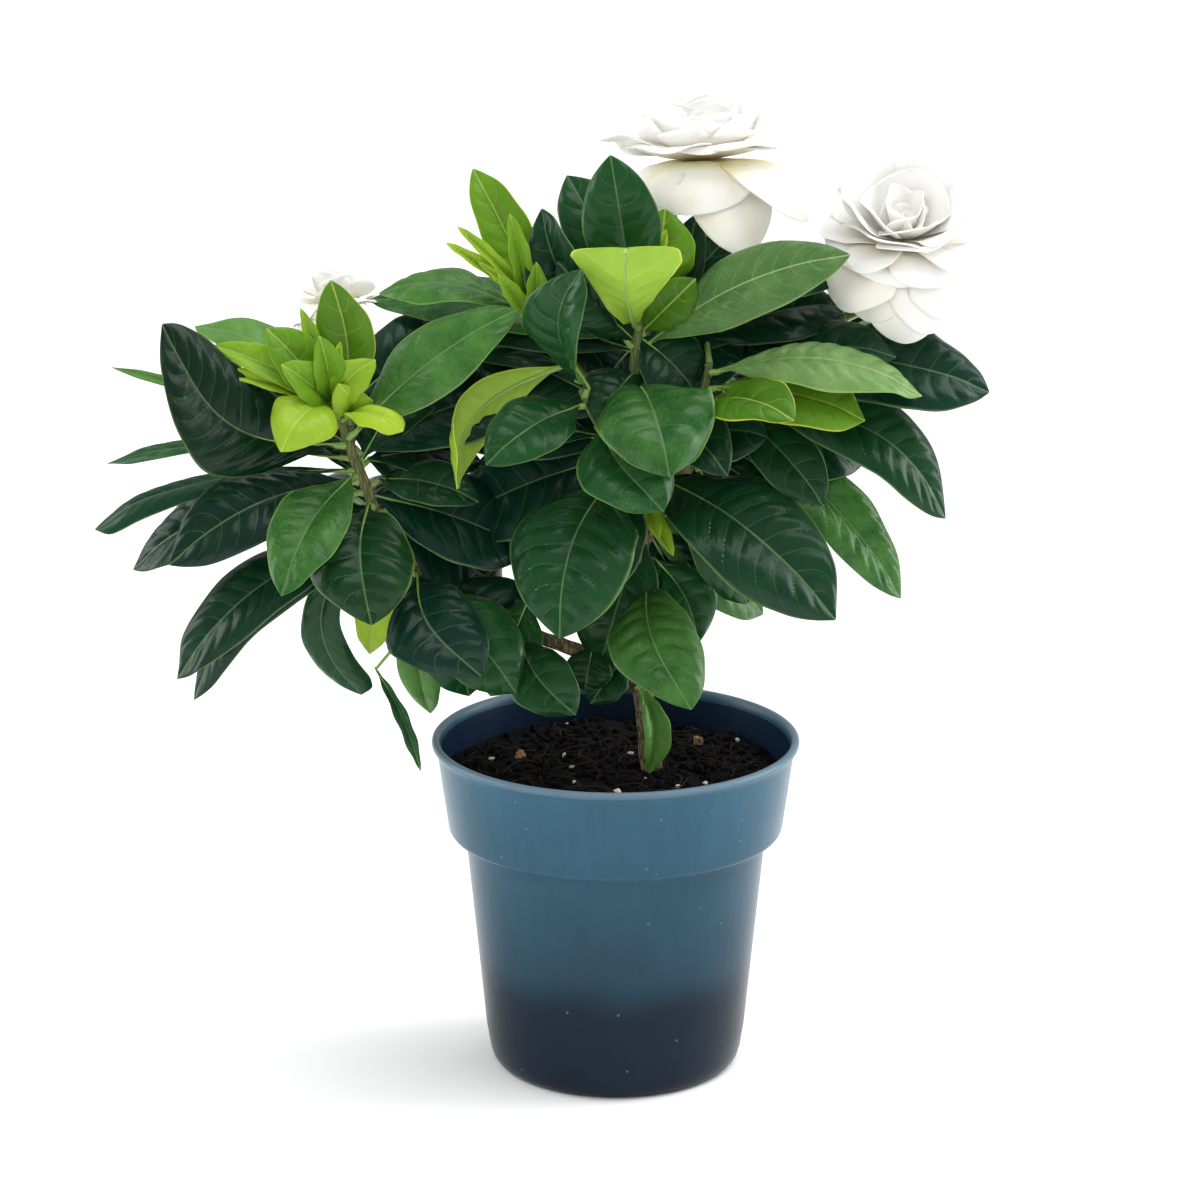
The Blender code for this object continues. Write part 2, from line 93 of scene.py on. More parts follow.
# Settings that many nodes share: a mix of colours, sums, an eased step and the edges of cells
RGBA = {"data_type": "RGBA"}
TIMES = {"operation": "MULTIPLY"}
PLUS = {"operation": "ADD"}
TIMES_PLUS = {"operation": "MULTIPLY_ADD"}
SCALED = {"operation": "SCALE"}
SIZE_OF = {"operation": "ABSOLUTE"}
EASED = {"interpolation_type": "SMOOTHSTEP"}
CELL_EDGES = {"feature": "DISTANCE_TO_EDGE"}


def new_material(name):
    """An empty material, and what adds a node to it."""
    material = bpy.data.materials.new(name)
    material.use_nodes = True
    material.node_tree.nodes.clear()
    return material, partial(add_node, material.node_tree)


# ---------------------------------------------------------------- leaf materials

# One side of a leaf: its greens from dark to light, a bluer one, partly painted shade, its vein and
# midrib, the colour of the painted rim light along its margin, then how rough and how waxed it is,
# how much veins and midrib show, and how much light comes through
LeafSkin = namedtuple(
    "LeafSkin", "shadow middle light cool vein rib margin rough gloss vein_show rib_show clear"
)


def read_marks(add):
    """The marks on a sheet: where a point is, its tone, and where it would lie if laid flat."""
    blade, tone, flat = (
        add("Attribute", {"attribute_name": mark}, {}).outputs["Vector"]
        for mark in ("blade", "tone", "flat")
    )
    place = add("SeparateXYZ", {}, {0: blade})
    return place, add("SeparateXYZ", {}, {0: tone}), flat


def leaf_material(name, skin):
    """One side of a leaf. The mesh's marks say where a point is across, along and between veins."""
    material, add = new_material(name)
    place, tone, flat = read_marks(add)
    across = add("Math", SIZE_OF, {0: place.outputs[0]})

    # side veins every 6 to 8 mm, about 0.6 mm wide, and a midrib about 1 mm wide
    off_vein = add("Math", {"operation": "PINGPONG"}, {0: place.outputs[2], 1: 0.5})
    vein = add("MapRange", EASED, {0: off_vein, 1: 0.0, 2: 0.06, 3: 1, 4: 0})
    inner = add("MapRange", {}, {0: across, 1: 0.55, 2: 0.95, 3: 1, 4: 0.15})
    vein = add("Math", TIMES, {0: vein, 1: inner})
    off_rib = add("SeparateXYZ", {}, {0: flat})
    off_rib = add("Math", SIZE_OF, {0: off_rib.outputs[0]})
    midrib = add("MapRange", EASED, {0: off_rib, 1: 0.12 * MM, 2: 0.55 * MM, 3: 1, 4: 0})
    # painted rim light: a pale line along the margin, as strong as each leaf's edge value
    edge = add("MapRange", EASED, {0: across, 1: 0.94, 2: 1.0, 3: 0, 4: 1})

    # green that varies over the blade in patches of about 9 mm, and in a grain of about 0.8 mm
    patches = add("TexNoise", {}, {"Vector": flat, "Scale": cells(9), "Detail": 4})
    grain = add("TexNoise", {}, {"Vector": flat, "Scale": cells(0.8), "Detail": 3})
    shade = add("MapRange", {}, {0: patches, 1: 0.3, 2: 0.7, 3: -0.07, 4: 0.07})
    # painted light: each leaf's light value is partly its age, and is set lower for leaves in shade
    # and higher for leaves that show a sheen
    shade = add("Math", PLUS, {0: tone.outputs[0], 1: shade})
    grain_shade = add("MapRange", {}, {0: grain, 1: 0.3, 2: 0.7, 3: -0.05, 4: 0.05})
    shade = add("Math", PLUS, {0: shade, 1: grain_shade})
    green = add("ValToRGB", {}, {0: shade})
    ramp = green.color_ramp.elements
    ramp[0].color, ramp[1].color = linear(skin.shadow), linear(skin.light)
    ramp.new(0.5).color = linear(skin.middle)
    # painted shade: each leaf's cool value mixes in the bluer green, most on leaves that lie in
    # shade
    green = add("Mix", RGBA, {0: tone.outputs[1], 6: green, 7: skin.cool})
    vein = add("Math", TIMES, {0: vein, 1: skin.vein_show})
    veined = add("Mix", RGBA, {0: vein, 6: green, 7: skin.vein})
    midrib = add("Math", TIMES, {0: midrib, 1: skin.rib_show})
    ribbed = add("Mix", RGBA, {0: midrib, 6: veined, 7: skin.rib})
    edge = add("Math", TIMES, {0: edge, 1: tone.outputs[2]})
    colour = add("Mix", RGBA, {0: edge, 6: ribbed, 7: skin.margin})

    # a net of the finest veins, about 1.5 mm to a cell, and the grain of the wax
    net = add("TexVoronoi", CELL_EDGES, {"Vector": flat, "Scale": cells(1.5), "Randomness": 0.9})
    net = add("MapRange", {}, {0: net, 1: 0.0, 2: 0.18, 3: 0, 4: 1})
    relief = add("Math", TIMES_PLUS, {0: grain, 1: 0.6, 2: net})
    bump = add("Bump", {}, {"Strength": 0.5, "Distance": 0.07 * MM, "Height": relief})
    rough = add(
        "MapRange", {}, {0: patches, 1: 0.3, 2: 0.7, 3: skin.rough - 0.05, 4: skin.rough + 0.07}
    )
    rough = add("Math", TIMES_PLUS, {0: vein, 1: 0.12, 2: rough})
    shader = add(
        "BsdfPrincipled", {},
        {
            "Base Color": colour, "Roughness": rough, "IOR": 1.45, "Specular IOR Level": 0.16,
            "Coat Weight": skin.gloss, "Coat Roughness": 0.18, "Normal": bump,
        },
    )
    # light that comes through the blade is warmer and yellower, tinted with the painted rim light's
    # colour
    lit = add("Mix", RGBA, {0: 0.55, 6: colour, 7: skin.margin})
    through = add("BsdfTranslucent", {}, {"Color": lit})
    both = add("MixShader", {}, {0: skin.clear, 1: shader, 2: through})
    add("OutputMaterial", {}, {"Surface": both})
    return material


# Mature gardenia leaf, upper side: a waxed skin over dark green, with soft broad highlights
WAXED_LEAF = leaf_material(
    "waxed_mature_leaf",
    LeafSkin(
        "#052010", "#1a4a20", "#64983e", "#0a302a", "#4b8044", "#82a467", "#8db35f", 0.28, 0.17,
        0.24, 0.34, 0.05,
    ),
)
# Mature leaf, underside: paler and matt, since it has no wax, with raised light veins
MATT_LEAF_BACK = leaf_material(
    "matt_mature_leaf_back",
    LeafSkin(
        "#3d6b36", "#5a8a3e", "#8ab35a", "#417355", "#93b968", "#b2ca86", "#93b552", 0.52, 0.0,
        0.45, 0.7, 0.08,
    ),
)
# Leaf that has just hardened, upper side: paler than the old ones and shinier
PALE_LEAF = leaf_material(
    "new_hardened_leaf",
    LeafSkin(
        "#2a5528", "#6c9250", "#aac48a", "#3a6050", "#8fb06e", "#b9cf95", "#a9c878", 0.3, 0.2, 0.3,
        0.5, 0.08,
    ),
)
# Young leaf, upper side: soft yellow-green skin that lets much light through
TENDER_LEAF = leaf_material(
    "tender_young_leaf",
    LeafSkin(
        "#3c6c18", "#6d9d24", "#b0ce3a", "#4f8a3e", "#9fbf4c", "#c3d66c", "#dbe04c", 0.34, 0.16,
        0.3, 0.6, 0.2,
    ),
)
# Young leaf, underside: lighter still, with a satin surface
TENDER_LEAF_BACK = leaf_material(
    "tender_young_leaf_back",
    LeafSkin(
        "#6a9a34", "#93bf40", "#b9d656", "#86ad62", "#bcd676", "#d4e394", "#dbe468", 0.45, 0.05,
        0.4, 0.7, 0.22,
    ),
)


def rib_material(name, low, high, rough):
    """The skin of a stalk or calyx, with fine streaks from a darker to a lighter green."""
    material, add = new_material(name)
    coords = add("TexCoord", {}, {}).outputs["Object"]
    # streaks about 1.2 mm long on the stalk's skin
    streaks = add("TexNoise", {}, {"Vector": coords, "Scale": cells(1.2), "Detail": 4})
    colour = add("Mix", RGBA, {0: streaks, 6: low, 7: high})
    bump = add("Bump", {}, {"Strength": 0.5, "Distance": 0.1 * MM, "Height": streaks})
    shade = add("MapRange", {}, {0: streaks, 3: rough - 0.08, 4: rough + 0.1})
    shader = add(
        "BsdfPrincipled", {},
        {"Base Color": colour, "Roughness": shade, "IOR": 1.45, "Normal": bump},
    )
    add("OutputMaterial", {}, {"Surface": shader})
    return material


# Leaf stalk and the ridge under the midrib: green, smooth and slightly glossy
LEAF_STALK = rib_material("green_leaf_stalk", "#6f9a45", "#9dbb66", 0.4)
# Calyx and flower tube: fresh green skin with long ribs
CALYX_SKIN = rib_material("green_calyx_skin", "#5d8f34", "#8fb551", 0.42)


def bark_material():
    """Gardenia bark: green-brown and smooth on shoots, grey-brown and cracked on the trunk."""
    material, add = new_material("gardenia_bark")
    coords = add("TexCoord", {}, {}).outputs["Object"]
    height = add("SeparateXYZ", {}, {0: coords}).outputs[2]
    # cracks run up the stem, 1.5 mm apart and three times as long
    stretched = add("Mapping", {}, {"Vector": coords, "Scale": (1, 1, 0.3)})
    cracks = add(
        "TexVoronoi", CELL_EDGES, {"Vector": stretched, "Scale": cells(1.5), "Randomness": 1}
    )
    cracks = add("MapRange", {}, {0: cracks, 1: 0, 2: 0.22, 3: 0, 4: 1})
    flecks = add("TexNoise", {}, {"Vector": stretched, "Scale": cells(0.9), "Detail": 6})
    age = add("MapRange", {}, {0: height, 1: 0.19, 2: 0.27, 3: 1, 4: 0.15})
    patches = add("TexNoise", {}, {"Vector": coords, "Scale": cells(7), "Detail": 3})
    patches = add("MapRange", {}, {0: patches, 1: 0.35, 2: 0.65, 3: 0.75, 4: 1})
    age = add("Math", TIMES, {0: age, 1: patches})
    woody = add("Mix", RGBA, {0: flecks, 6: "#4a3626", 7: "#a38a68"})
    woody = add("Mix", RGBA, {0: cracks, 6: "#2a1d14", 7: woody})
    green = add("Mix", RGBA, {0: flecks, 6: "#3d5a26", 7: "#7a8f4a"})
    colour = add("Mix", RGBA, {0: age, 6: green, 7: woody})
    relief = add("Math", TIMES_PLUS, {0: flecks, 1: 0.6, 2: cracks})
    bump = add("Bump", {}, {"Strength": 0.8, "Distance": 0.35 * MM, "Height": relief})
    rough = add("MapRange", {}, {0: age, 3: 0.5, 4: 0.85})
    shader = add("BsdfPrincipled", {}, {"Base Color": colour, "Roughness": rough, "Normal": bump})
    add("OutputMaterial", {}, {"Surface": shader})
    return material


def petal_material():
    """Gardenia petal: thick, soft, creamy white. Fine veins run out from a yellow-cream base. The
    cream is partly painted shade, strongest towards the base and on the lower petals.
    """
    material, add = new_material("gardenia_petal")
    place, tone, flat = read_marks(add)
    clouds = add("TexNoise", {}, {"Vector": flat, "Scale": cells(8), "Detail": 3})
    # veins about 0.9 mm apart, drawn out eight times along the petal
    stretched = add("Mapping", {}, {"Vector": flat, "Scale": (1, 0.12, 1)})
    veins = add("TexNoise", {}, {"Vector": stretched, "Scale": cells(0.9), "Detail": 3})
    # painted shade: cream laid on towards the petal's base and by each petal's cream value, partly
    # the petal's own colour
    cream = add("MapRange", {}, {0: place.outputs[1], 1: 0.1, 2: 1.0, 3: 1.0, 4: 0.3})
    cream = add("MapRange", {}, {0: clouds, 1: 0.25, 2: 0.75, 3: 0, 4: cream})
    cream = add("Math", TIMES, {0: cream, 1: tone.outputs[0]})
    yellow = add("MapRange", {}, {0: place.outputs[1], 1: 0.1, 2: 0.56, 3: 1, 4: 0})
    yellow = add("Math", TIMES, {0: yellow, 1: tone.outputs[1]})
    white = add("Mix", RGBA, {0: veins, 6: "#fefdfb", 7: "#ffffff"})
    creamy = add("Mix", RGBA, {0: cream, 6: white, 7: "#f8efcc"})
    colour = add("Mix", RGBA, {0: yellow, 6: creamy, 7: "#e9dc62"})
    relief = add("Math", TIMES_PLUS, {0: clouds, 1: 1.5, 2: veins})
    bump = add("Bump", {}, {"Strength": 0.5, "Distance": 0.16 * MM, "Height": relief})
    rough = add("MapRange", {}, {0: veins, 3: 0.48, 4: 0.64})
    shader = add(
        "BsdfPrincipled", {},
        {
            "Base Color": colour, "Roughness": rough, "IOR": 1.4, "Specular IOR Level": 0.3,
            "Subsurface Weight": 0.08, "Subsurface Radius": (1.0, 0.95, 0.85),
            "Subsurface Scale": 3 * MM, "Sheen Weight": 0.1, "Sheen Roughness": 0.5, "Normal": bump,
        },
    )
    through = add("BsdfTranslucent", {}, {"Color": colour})
    both = add("MixShader", {}, {0: 0.2, 1: shader, 2: through})
    add("OutputMaterial", {}, {"Surface": both})
    return material


# Heights on the pot: its rim, where its painted lightening towards the rim starts, where the
# painted reflection of a dark surface below fades out, and the painted highlight on the bead of the
# rim, from its foot to where it is brightest
POT_TOP = 120 * MM
PAINTED_GRADIENT_FOOT = 40 * MM
REFLECTION_BAND_FROM, REFLECTION_BAND_TO = 33 * MM, 49 * MM
BEAD_FOOT, BEAD_HIGHLIGHT_TOP = 117.4 * MM, 119 * MM


def pot_material(name, low, high, reflected_dark_colour):
    """Polypropylene, injection moulded: satin gloss with faint streaks where it was drawn out of
    its mould, and dust specks. Its colour is painted darker low down and lighter towards the rim,
    a painted reflection of a dark surface under the pot."""
    material, add = new_material(name)
    coords = add("TexCoord", {}, {}).outputs["Object"]
    place = add("SeparateXYZ", {}, {0: coords})
    clouds = add("TexNoise", {}, {"Vector": coords, "Scale": cells(22), "Detail": 0})
    wander = add("Math", TIMES_PLUS, {0: clouds, 1: 5 * MM, 2: place.outputs[2]})
    # painted reflection: the wall is painted darker in a band low down and lighter towards the rim,
    # in place of the reflection of a dark surface under the pot
    reflected_band = add("MapRange", EASED, {0: wander, 1: REFLECTION_BAND_FROM, 2: REFLECTION_BAND_TO, 3: 1, 4: 0})
    upper = add("MapRange", {}, {0: place.outputs[2], 1: PAINTED_GRADIENT_FOOT, 2: POT_TOP, 3: 0, 4: 1})
    blue = add("Mix", RGBA, {0: upper, 6: low, 7: high})
    blue = add("Mix", RGBA, {0: reflected_band, 6: blue, 7: reflected_dark_colour})
    mottle = add("MapRange", {}, {0: clouds, 1: 0.3, 2: 0.7, 3: 0.96, 4: 1.04})
    blue = add("VectorMath", SCALED, {0: blue, "Scale": mottle})
    # streaks 3 mm apart that run down the wall, a little lighter or darker than the rest
    drawn = add("Mapping", {}, {"Vector": coords, "Scale": (1, 1, 0.04)})
    streaks = add("TexNoise", {}, {"Vector": drawn, "Scale": cells(3), "Detail": 1})
    streak_tone = add("MapRange", {}, {0: streaks, 1: 0.3, 2: 0.7, 3: 0.95, 4: 1.05})
    blue = add("VectorMath", SCALED, {0: blue, "Scale": streak_tone})
    # dust specks under 1 mm across, one every centimetre or so
    specks = add("TexVoronoi", {"feature": "F1"}, {"Vector": coords, "Scale": cells(9)})
    specks = add("MapRange", {}, {0: specks.outputs["Distance"], 1: 0.04, 2: 0.07, 3: 0.22, 4: 0})
    colour = add("Mix", RGBA, {0: specks, 6: blue, 7: "#8fa3b0"})
    # painted highlight: the bead of the rim is painted paler, brightest near its top
    bead_highlight = add("MapRange", {}, {0: place.outputs[2], 1: BEAD_FOOT, 2: BEAD_HIGHLIGHT_TOP, 3: 0, 4: 0.3})
    colour = add("Mix", RGBA, {0: bead_highlight, 6: colour, 7: "#94a2ad"})
    bump = add("Bump", {}, {"Strength": 0.25, "Distance": 0.05 * MM, "Height": streaks})
    shader = add(
        "BsdfPrincipled", {},
        {
            "Base Color": colour, "Roughness": 0.28, "IOR": 1.49, "Specular IOR Level": 0.16,
            "Normal": bump,
        },
    )
    add("OutputMaterial", {}, {"Surface": shader})
    return material


def ground_material(name, low, high, grain_mm, rough):
    """Crumbly mineral or peaty stuff, dull all over, with grains of the given size."""
    material, add = new_material(name)
    coords = add("TexCoord", {}, {}).outputs["Object"]
    grain = add("TexNoise", {}, {"Vector": coords, "Scale": cells(grain_mm), "Detail": 8})
    crumbs = add("TexNoise", {}, {"Vector": coords, "Scale": cells(grain_mm * 3), "Detail": 2})
    mix = add("MapRange", {}, {0: grain, 1: 0.35, 2: 0.7, 3: 0, 4: 1})
    colour = add("Mix", RGBA, {0: mix, 6: low, 7: high})
    relief = add("Math", PLUS, {0: grain, 1: crumbs})
    bump = add("Bump", {}, {"Strength": 0.9, "Distance": 0.4 * grain_mm * MM, "Height": relief})
    shade = add("MapRange", {}, {0: grain, 3: rough - 0.1, 4: rough})
    shader = add(
        "BsdfPrincipled", {},
        {"Base Color": colour, "Roughness": shade, "Specular IOR Level": 0.15, "Normal": bump},
    )
    add("OutputMaterial", {}, {"Surface": shader})
    return material


def board_material():
    """Matt white painted board: even, with a tone that drifts by less than one part in fifty."""
    material, add = new_material("matt_white_board")
    coords = add("TexCoord", {}, {}).outputs["Object"]
    drift = add("TexNoise", {}, {"Vector": coords, "Scale": cells(400), "Detail": 2})
    colour = add("Mix", RGBA, {0: drift, 6: "#fbfbfb", 7: "#fefefe"})
    shader = add("BsdfPrincipled", {}, {"Base Color": colour, "Roughness": 0.95})
    add("OutputMaterial", {}, {"Surface": shader})
    return material


BARK = bark_material()
PETAL = petal_material()
# Its low and high colours and its dark band paint the reflection of a dark surface under the pot
POT_PLASTIC = pot_material("moulded_polypropylene", "#1c3848", "#32596d", "#0a1a29")
# The same plastic inside the pot, in darker colours
POT_INSIDE = pot_material("darker_inside_polypropylene", "#101d2e", "#172a42", "#0a1420")
# Damp peat compost: crumbly and dull, and almost black, its dark colour deepened as painted shade
# from the leaves above
PEAT = ground_material("damp_peat", "#050508", "#100e11", 1.4, 1.0)
# Fibres and bits of straw in the peat: dull brown
FIBRE = ground_material("peat_fibre", "#1e1a1b", "#46382e", 0.6, 0.95)
# Perlite: white puffed volcanic glass, rough and chalky
PERLITE = ground_material("perlite", "#b9b4a8", "#efece4", 0.8, 0.95)
# A lump of tan bark chip
CHIP = ground_material("bark_chip", "#6b4a33", "#b8906b", 1.1, 0.9)
# The plain pale floor of the studio: matt painted board
FLOOR = board_material()

# ---------------------------------------------------------------- mesh tools

# Points (m), faces, the number of each face's finish, and the marks that materials read
Sheet = namedtuple("Sheet", "points faces finish marks")


def put_in_scene(name, data):
    """A new object for a mesh, a light or a camera."""
    made = bpy.data.objects.new(name, data)
    bpy.context.scene.collection.objects.link(made)
    return made


def apply_modifiers(piece):
    """Swaps a piece's mesh for the one that its modifiers make."""
    bpy.context.view_layer.update()
    graph = bpy.context.evaluated_depsgraph_get()
    made = bpy.data.meshes.new_from_object(piece.evaluated_get(graph))
    piece.modifiers.clear()
    piece.data = made
    return made


def add_piece(name, sheets, finishes, replaced=()):
    """Joins sheets of mesh into one piece that rides with the plant."""
    points = np.concatenate([sheet.points for sheet in sheets])
    faces, finish, start = [], [], 0
    for sheet in sheets:
        faces += [tuple(i + start for i in face) for face in sheet.faces]
        finish += list(sheet.finish)
        start += len(sheet.points)
    mesh = bpy.data.meshes.new(name)
    mesh.from_pydata(points.tolist(), [], faces)
    for material in finishes:
        mesh.materials.append(material)
    mesh.polygons.foreach_set("material_index", finish)
    for mark in sheets[0].marks:
        values = np.concatenate([sheet.marks[mark] for sheet in sheets]).astype(np.float32)
        layer = mesh.attributes.new(mark, "FLOAT_VECTOR", "POINT")
        layer.data.foreach_set("vector", values.ravel())
    mesh.shade_smooth()
    mesh.update()
    piece = put_in_scene(name, mesh)
    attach(piece, "root")
    if replaced:
        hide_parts(*replaced)


def unit(vectors):
    """Vectors made one long."""
    return vectors / np.maximum(np.linalg.norm(vectors, axis=-1, keepdims=True), 1e-12)


def smooth_step(low, high, value):
    """Rises gently from 0 at the low value to 1 at the high one."""
    share = np.clip((value - low) / (high - low), 0, 1)
    return share * share * (3 - 2 * share)


def curve_through(knots, values, at):
    """A smooth curve through values at knots, read at other places."""
    knots, values = np.asarray(knots, float), np.asarray(values, float)
    at = np.clip(at, knots[0], knots[-1])
    slopes = np.gradient(values, knots)
    low = np.clip(np.searchsorted(knots, at) - 1, 0, len(knots) - 2)
    span = knots[low + 1] - knots[low]
    u = (at - knots[low]) / span
    return (
        (1 + 2 * u) * (1 - u) ** 2 * values[low]
        + u * (1 - u) ** 2 * span * slopes[low]
        + u * u * (3 - 2 * u) * values[low + 1]
        + u * u * (u - 1) * span * slopes[low + 1]
    )


def two_sided(points, thickness, marks):
    """A thin sheet with an upper side (finish 0) and an underside (finish 1) from a grid of points.
    Its columns run to the right and its rows run away, as seen from above."""
    rows, columns = points.shape[:2]
    normals = unit(np.cross(np.gradient(points, axis=1), np.gradient(points, axis=0)))
    half = normals * thickness[..., None] / 2
    both = np.concatenate([(points + half).reshape(-1, 3), (points - half).reshape(-1, 3)])
    count = rows * columns
    corner = (np.arange(rows - 1)[:, None] * columns + np.arange(columns - 1)).ravel()
    quads = np.stack([corner, corner + 1, corner + columns + 1, corner + columns], 1)
    ring = list(range(columns)) + [r * columns + columns - 1 for r in range(1, rows)]
    ring += [(rows - 1) * columns + c for c in range(columns - 2, -1, -1)]
    ring += [r * columns for r in range(rows - 2, 0, -1)]
    rim = [(a + count, b + count, b, a) for a, b in zip(ring, ring[1:] + ring[:1])]
    faces = quads.tolist() + (quads[:, ::-1] + count).tolist() + rim
    finish = [0] * len(quads) + [1] * len(quads) + [0] * len(rim)
    return Sheet(both, faces, finish, {mark: np.concatenate([v, v]) for mark, v in marks.items()})


def band_faces(first, last, steps):
    """The faces between rings of points that start at the first number, up to the last ring."""
    return [
        (i + j, i + steps + j, i + steps + (j + 1) % steps, i + (j + 1) % steps)
        for i in range(first, last, steps) for j in range(steps)
    ]


def tube(path, radii, finish, marks=(), sides=8, flatten=1.0):
    """A round stalk along a path, closed at both ends."""
    path, radii = np.asarray(path, float), np.asarray(radii, float)
    along = unit(np.gradient(path, axis=0))
    aside = np.empty_like(path)
    side = np.cross(along[0], (0.31, 0.95, 0.05))
    for i, direction in enumerate(along):
        side = unit(side - direction * (side @ direction))
        aside[i] = side
    other = np.cross(along, aside)
    angle = np.linspace(0, math.tau, sides, endpoint=False)
    cosine, sine = np.cos(angle)[:, None], np.sin(angle)[:, None]
    ring = aside[:, None] * cosine + other[:, None] * sine * flatten
    points = (path[:, None] + ring * radii[:, None, None]).reshape(-1, 3)
    faces = []
    for i in range(len(path) - 1):
        for j in range(sides):
            k = (j + 1) % sides
            faces.append((i * sides + j, i * sides + k, (i + 1) * sides + k, (i + 1) * sides + j))
    last = (len(path) - 1) * sides
    faces += [tuple(range(sides - 1, -1, -1)), tuple(range(last, last + sides))]
    blank = {mark: np.zeros((len(points), 3)) for mark in marks}
    return Sheet(points, faces, [finish] * len(faces), blank)


def node_points(name):
    """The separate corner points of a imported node."""
    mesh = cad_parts[name].data
    points = np.empty(len(mesh.vertices) * 3, np.float32)
    mesh.vertices.foreach_get("co", points)
    return np.unique(np.round(points.reshape(-1, 3).astype(float), 6), axis=0)


STEM_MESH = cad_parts["stems"].data
STEM_SURFACE = BVHTree.FromPolygons(
    [v.co for v in STEM_MESH.vertices], [tuple(p.vertices) for p in STEM_MESH.polygons]
)

# ---------------------------------------------------------------- leaves

# Where each packed leaf has its sections, as shares of its length, and which one is the widest
STATIONS = np.array((0, 0.07, 0.18, 0.32, 0.48, 0.64, 0.79, 0.92, 1))
WIDEST_STATION = 5
# The outline of a gardenia leaf: a short stalk, a wedge base, widest past the middle, and a
# drawn-out tip
OUTLINE_AT = (0, 0.035, 0.07, 0.13, 0.2, 0.3, 0.42, 0.54, 0.65, 0.75, 0.84, 0.91, 0.96, 1)
OUTLINE = (0.05, 0.06, 0.14, 0.34, 0.56, 0.8, 0.97, 1.03, 0.99, 0.88, 0.69, 0.47, 0.25, 0.02)

# The same with a broad, square end
BLUNT_OUTLINE = (0.05, 0.06, 0.09, 0.15, 0.22, 0.32, 0.45, 0.59, 0.74, 0.9, 1.08, 1.15, 0.92, 0.04)

# A leaf as curves along its length: its midrib, the ways its two halves spread, its half-width
Form = namedtuple("Form", "middle left right half")


def fitted(stations, values, degree, at):
    """A smooth polynomial through values at the stations."""
    fits = [np.polyfit(stations, column, degree) for column in values.T]
    return np.stack([np.polyval(fit, at) for fit in fits], 1)


def form_from_node(name, at):
    """The leaf's form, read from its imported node."""
    points = node_points(name)
    gaps = np.linalg.norm(points[:, None] - points[None], axis=2)
    ends = np.unravel_index(gaps.argmax(), gaps.shape)
    best = None
    for start, end in (ends, ends[::-1]):
        chord = points[end] - points[start]
        share = (points - points[start]) @ chord / (chord @ chord)
        station = np.abs(share[:, None] - STATIONS).argmin(1)
        error = np.abs(share - STATIONS[station]).max()
        if best is None or error < best[0]:
            best = (error, station, unit(chord))
    _, station, along = best
    widest = points[station == WIDEST_STATION]
    side = np.linalg.svd(widest - widest.mean(0))[2][0]
    rows = {}
    for order in (range(WIDEST_STATION, -1, -1), range(WIDEST_STATION, len(STATIONS))):
        aside = side
        for i in order:
            spots = points[station == i]
            spots = spots[((spots - spots.mean(0)) @ aside).argsort()]
            third = len(spots) // 3
            rows[i] = [spots[:third].mean(0), spots[third:-third].mean(0), spots[-third:].mean(0)]
            if 0 < i < len(STATIONS) - 1:
                aside = unit(rows[i][2] - rows[i][0])
    left, middle, right = (np.array([rows[i][k] for i in range(len(STATIONS))]) for k in range(3))
    upper = unit((left + right)[WIDEST_STATION] / 2 - middle[WIDEST_STATION])
    if np.cross(along, upper) @ side < 0:
        left, right = right, left
    middle[0] = (left[0] + right[0]) / 2
    spread = (np.linalg.norm(left - middle, axis=1) + np.linalg.norm(right - middle, axis=1)) / 2
    inner = STATIONS[1:-1]
    inner_at = np.clip(at, inner[0], inner[-1])
    ways = [unit(fitted(inner, unit(half - middle)[1:-1], 3, inner_at)) for half in (left, right)]
    broad_part = slice(WIDEST_STATION - 2, WIDEST_STATION + 2)
    half_width = spread[broad_part].max() * curve_through(OUTLINE_AT, OUTLINE, at)
    return Form(fitted(STATIONS, middle, 5, at), *ways, half_width)


def form_from_points(base, tip, width, facing, bow, fold, sway, at):
    """The form of a leaf that has no node: from its base and tip (mm) and the way its top faces."""
    base, tip = np.array(base, float) * MM, np.array(tip, float) * MM
    along = unit(tip - base)
    upper = np.array(facing, float)
    upper = unit(upper - along * (upper @ along))
    side = np.cross(along, upper)
    arch = np.sin(math.pi * at)[:, None]
    middle = base + (tip - base) * at[:, None] + (upper * bow + side * sway) * MM * arch
    lift = math.radians(fold) * arch**0.3
    return Form(
        middle, upper * np.sin(lift) - side * np.cos(lift),
        upper * np.sin(lift) + side * np.cos(lift),
        width / 2 * MM * curve_through(OUTLINE_AT, OUTLINE, at),
    )


LEAF_ROWS = 84
LEAF_HALF_COLUMNS = 13
LEAF_THICKNESS = 0.42 * MM
# The half-width of a middling leaf, the distance between its side veins, how many pairs of them
# a leaf may have, and the width of the groove over its midrib
USUAL_HALF_WIDTH = 14 * MM
VEIN_SPACING = 7.5 * MM
VEIN_PAIRS = (5, 12)
GROOVE_WIDTH = 0.9 * MM
MARKS = ("blade", "flat", "tone")

# How one leaf is finished: light and cool are how light and how blue its green is, partly from its
# age and partly painted light, darker and bluer for leaves that lie in shade and lighter for leaves
# that show a sheen, edge how strong the painted rim light along its margin is, droop how far the
# margins bend down (share of the half-width), quilt the swelling between veins (mm), wave the
# waviness of the margin (mm), tip_curl how far the tip curls down (mm), blunt how square its far
# end is, bend how far its middle is pushed aside, along x and z (mm), and wide how many times as
# wide as the imported leaf it is
LeafLook = namedtuple(
    "LeafLook", "light cool edge droop quilt wave tip_curl blunt bend wide",
    defaults=(0.3, 0.0, 0.4, 0.2, 0.72, 2.2, 2.0, 0.0, (0, 0), 1.0),
)


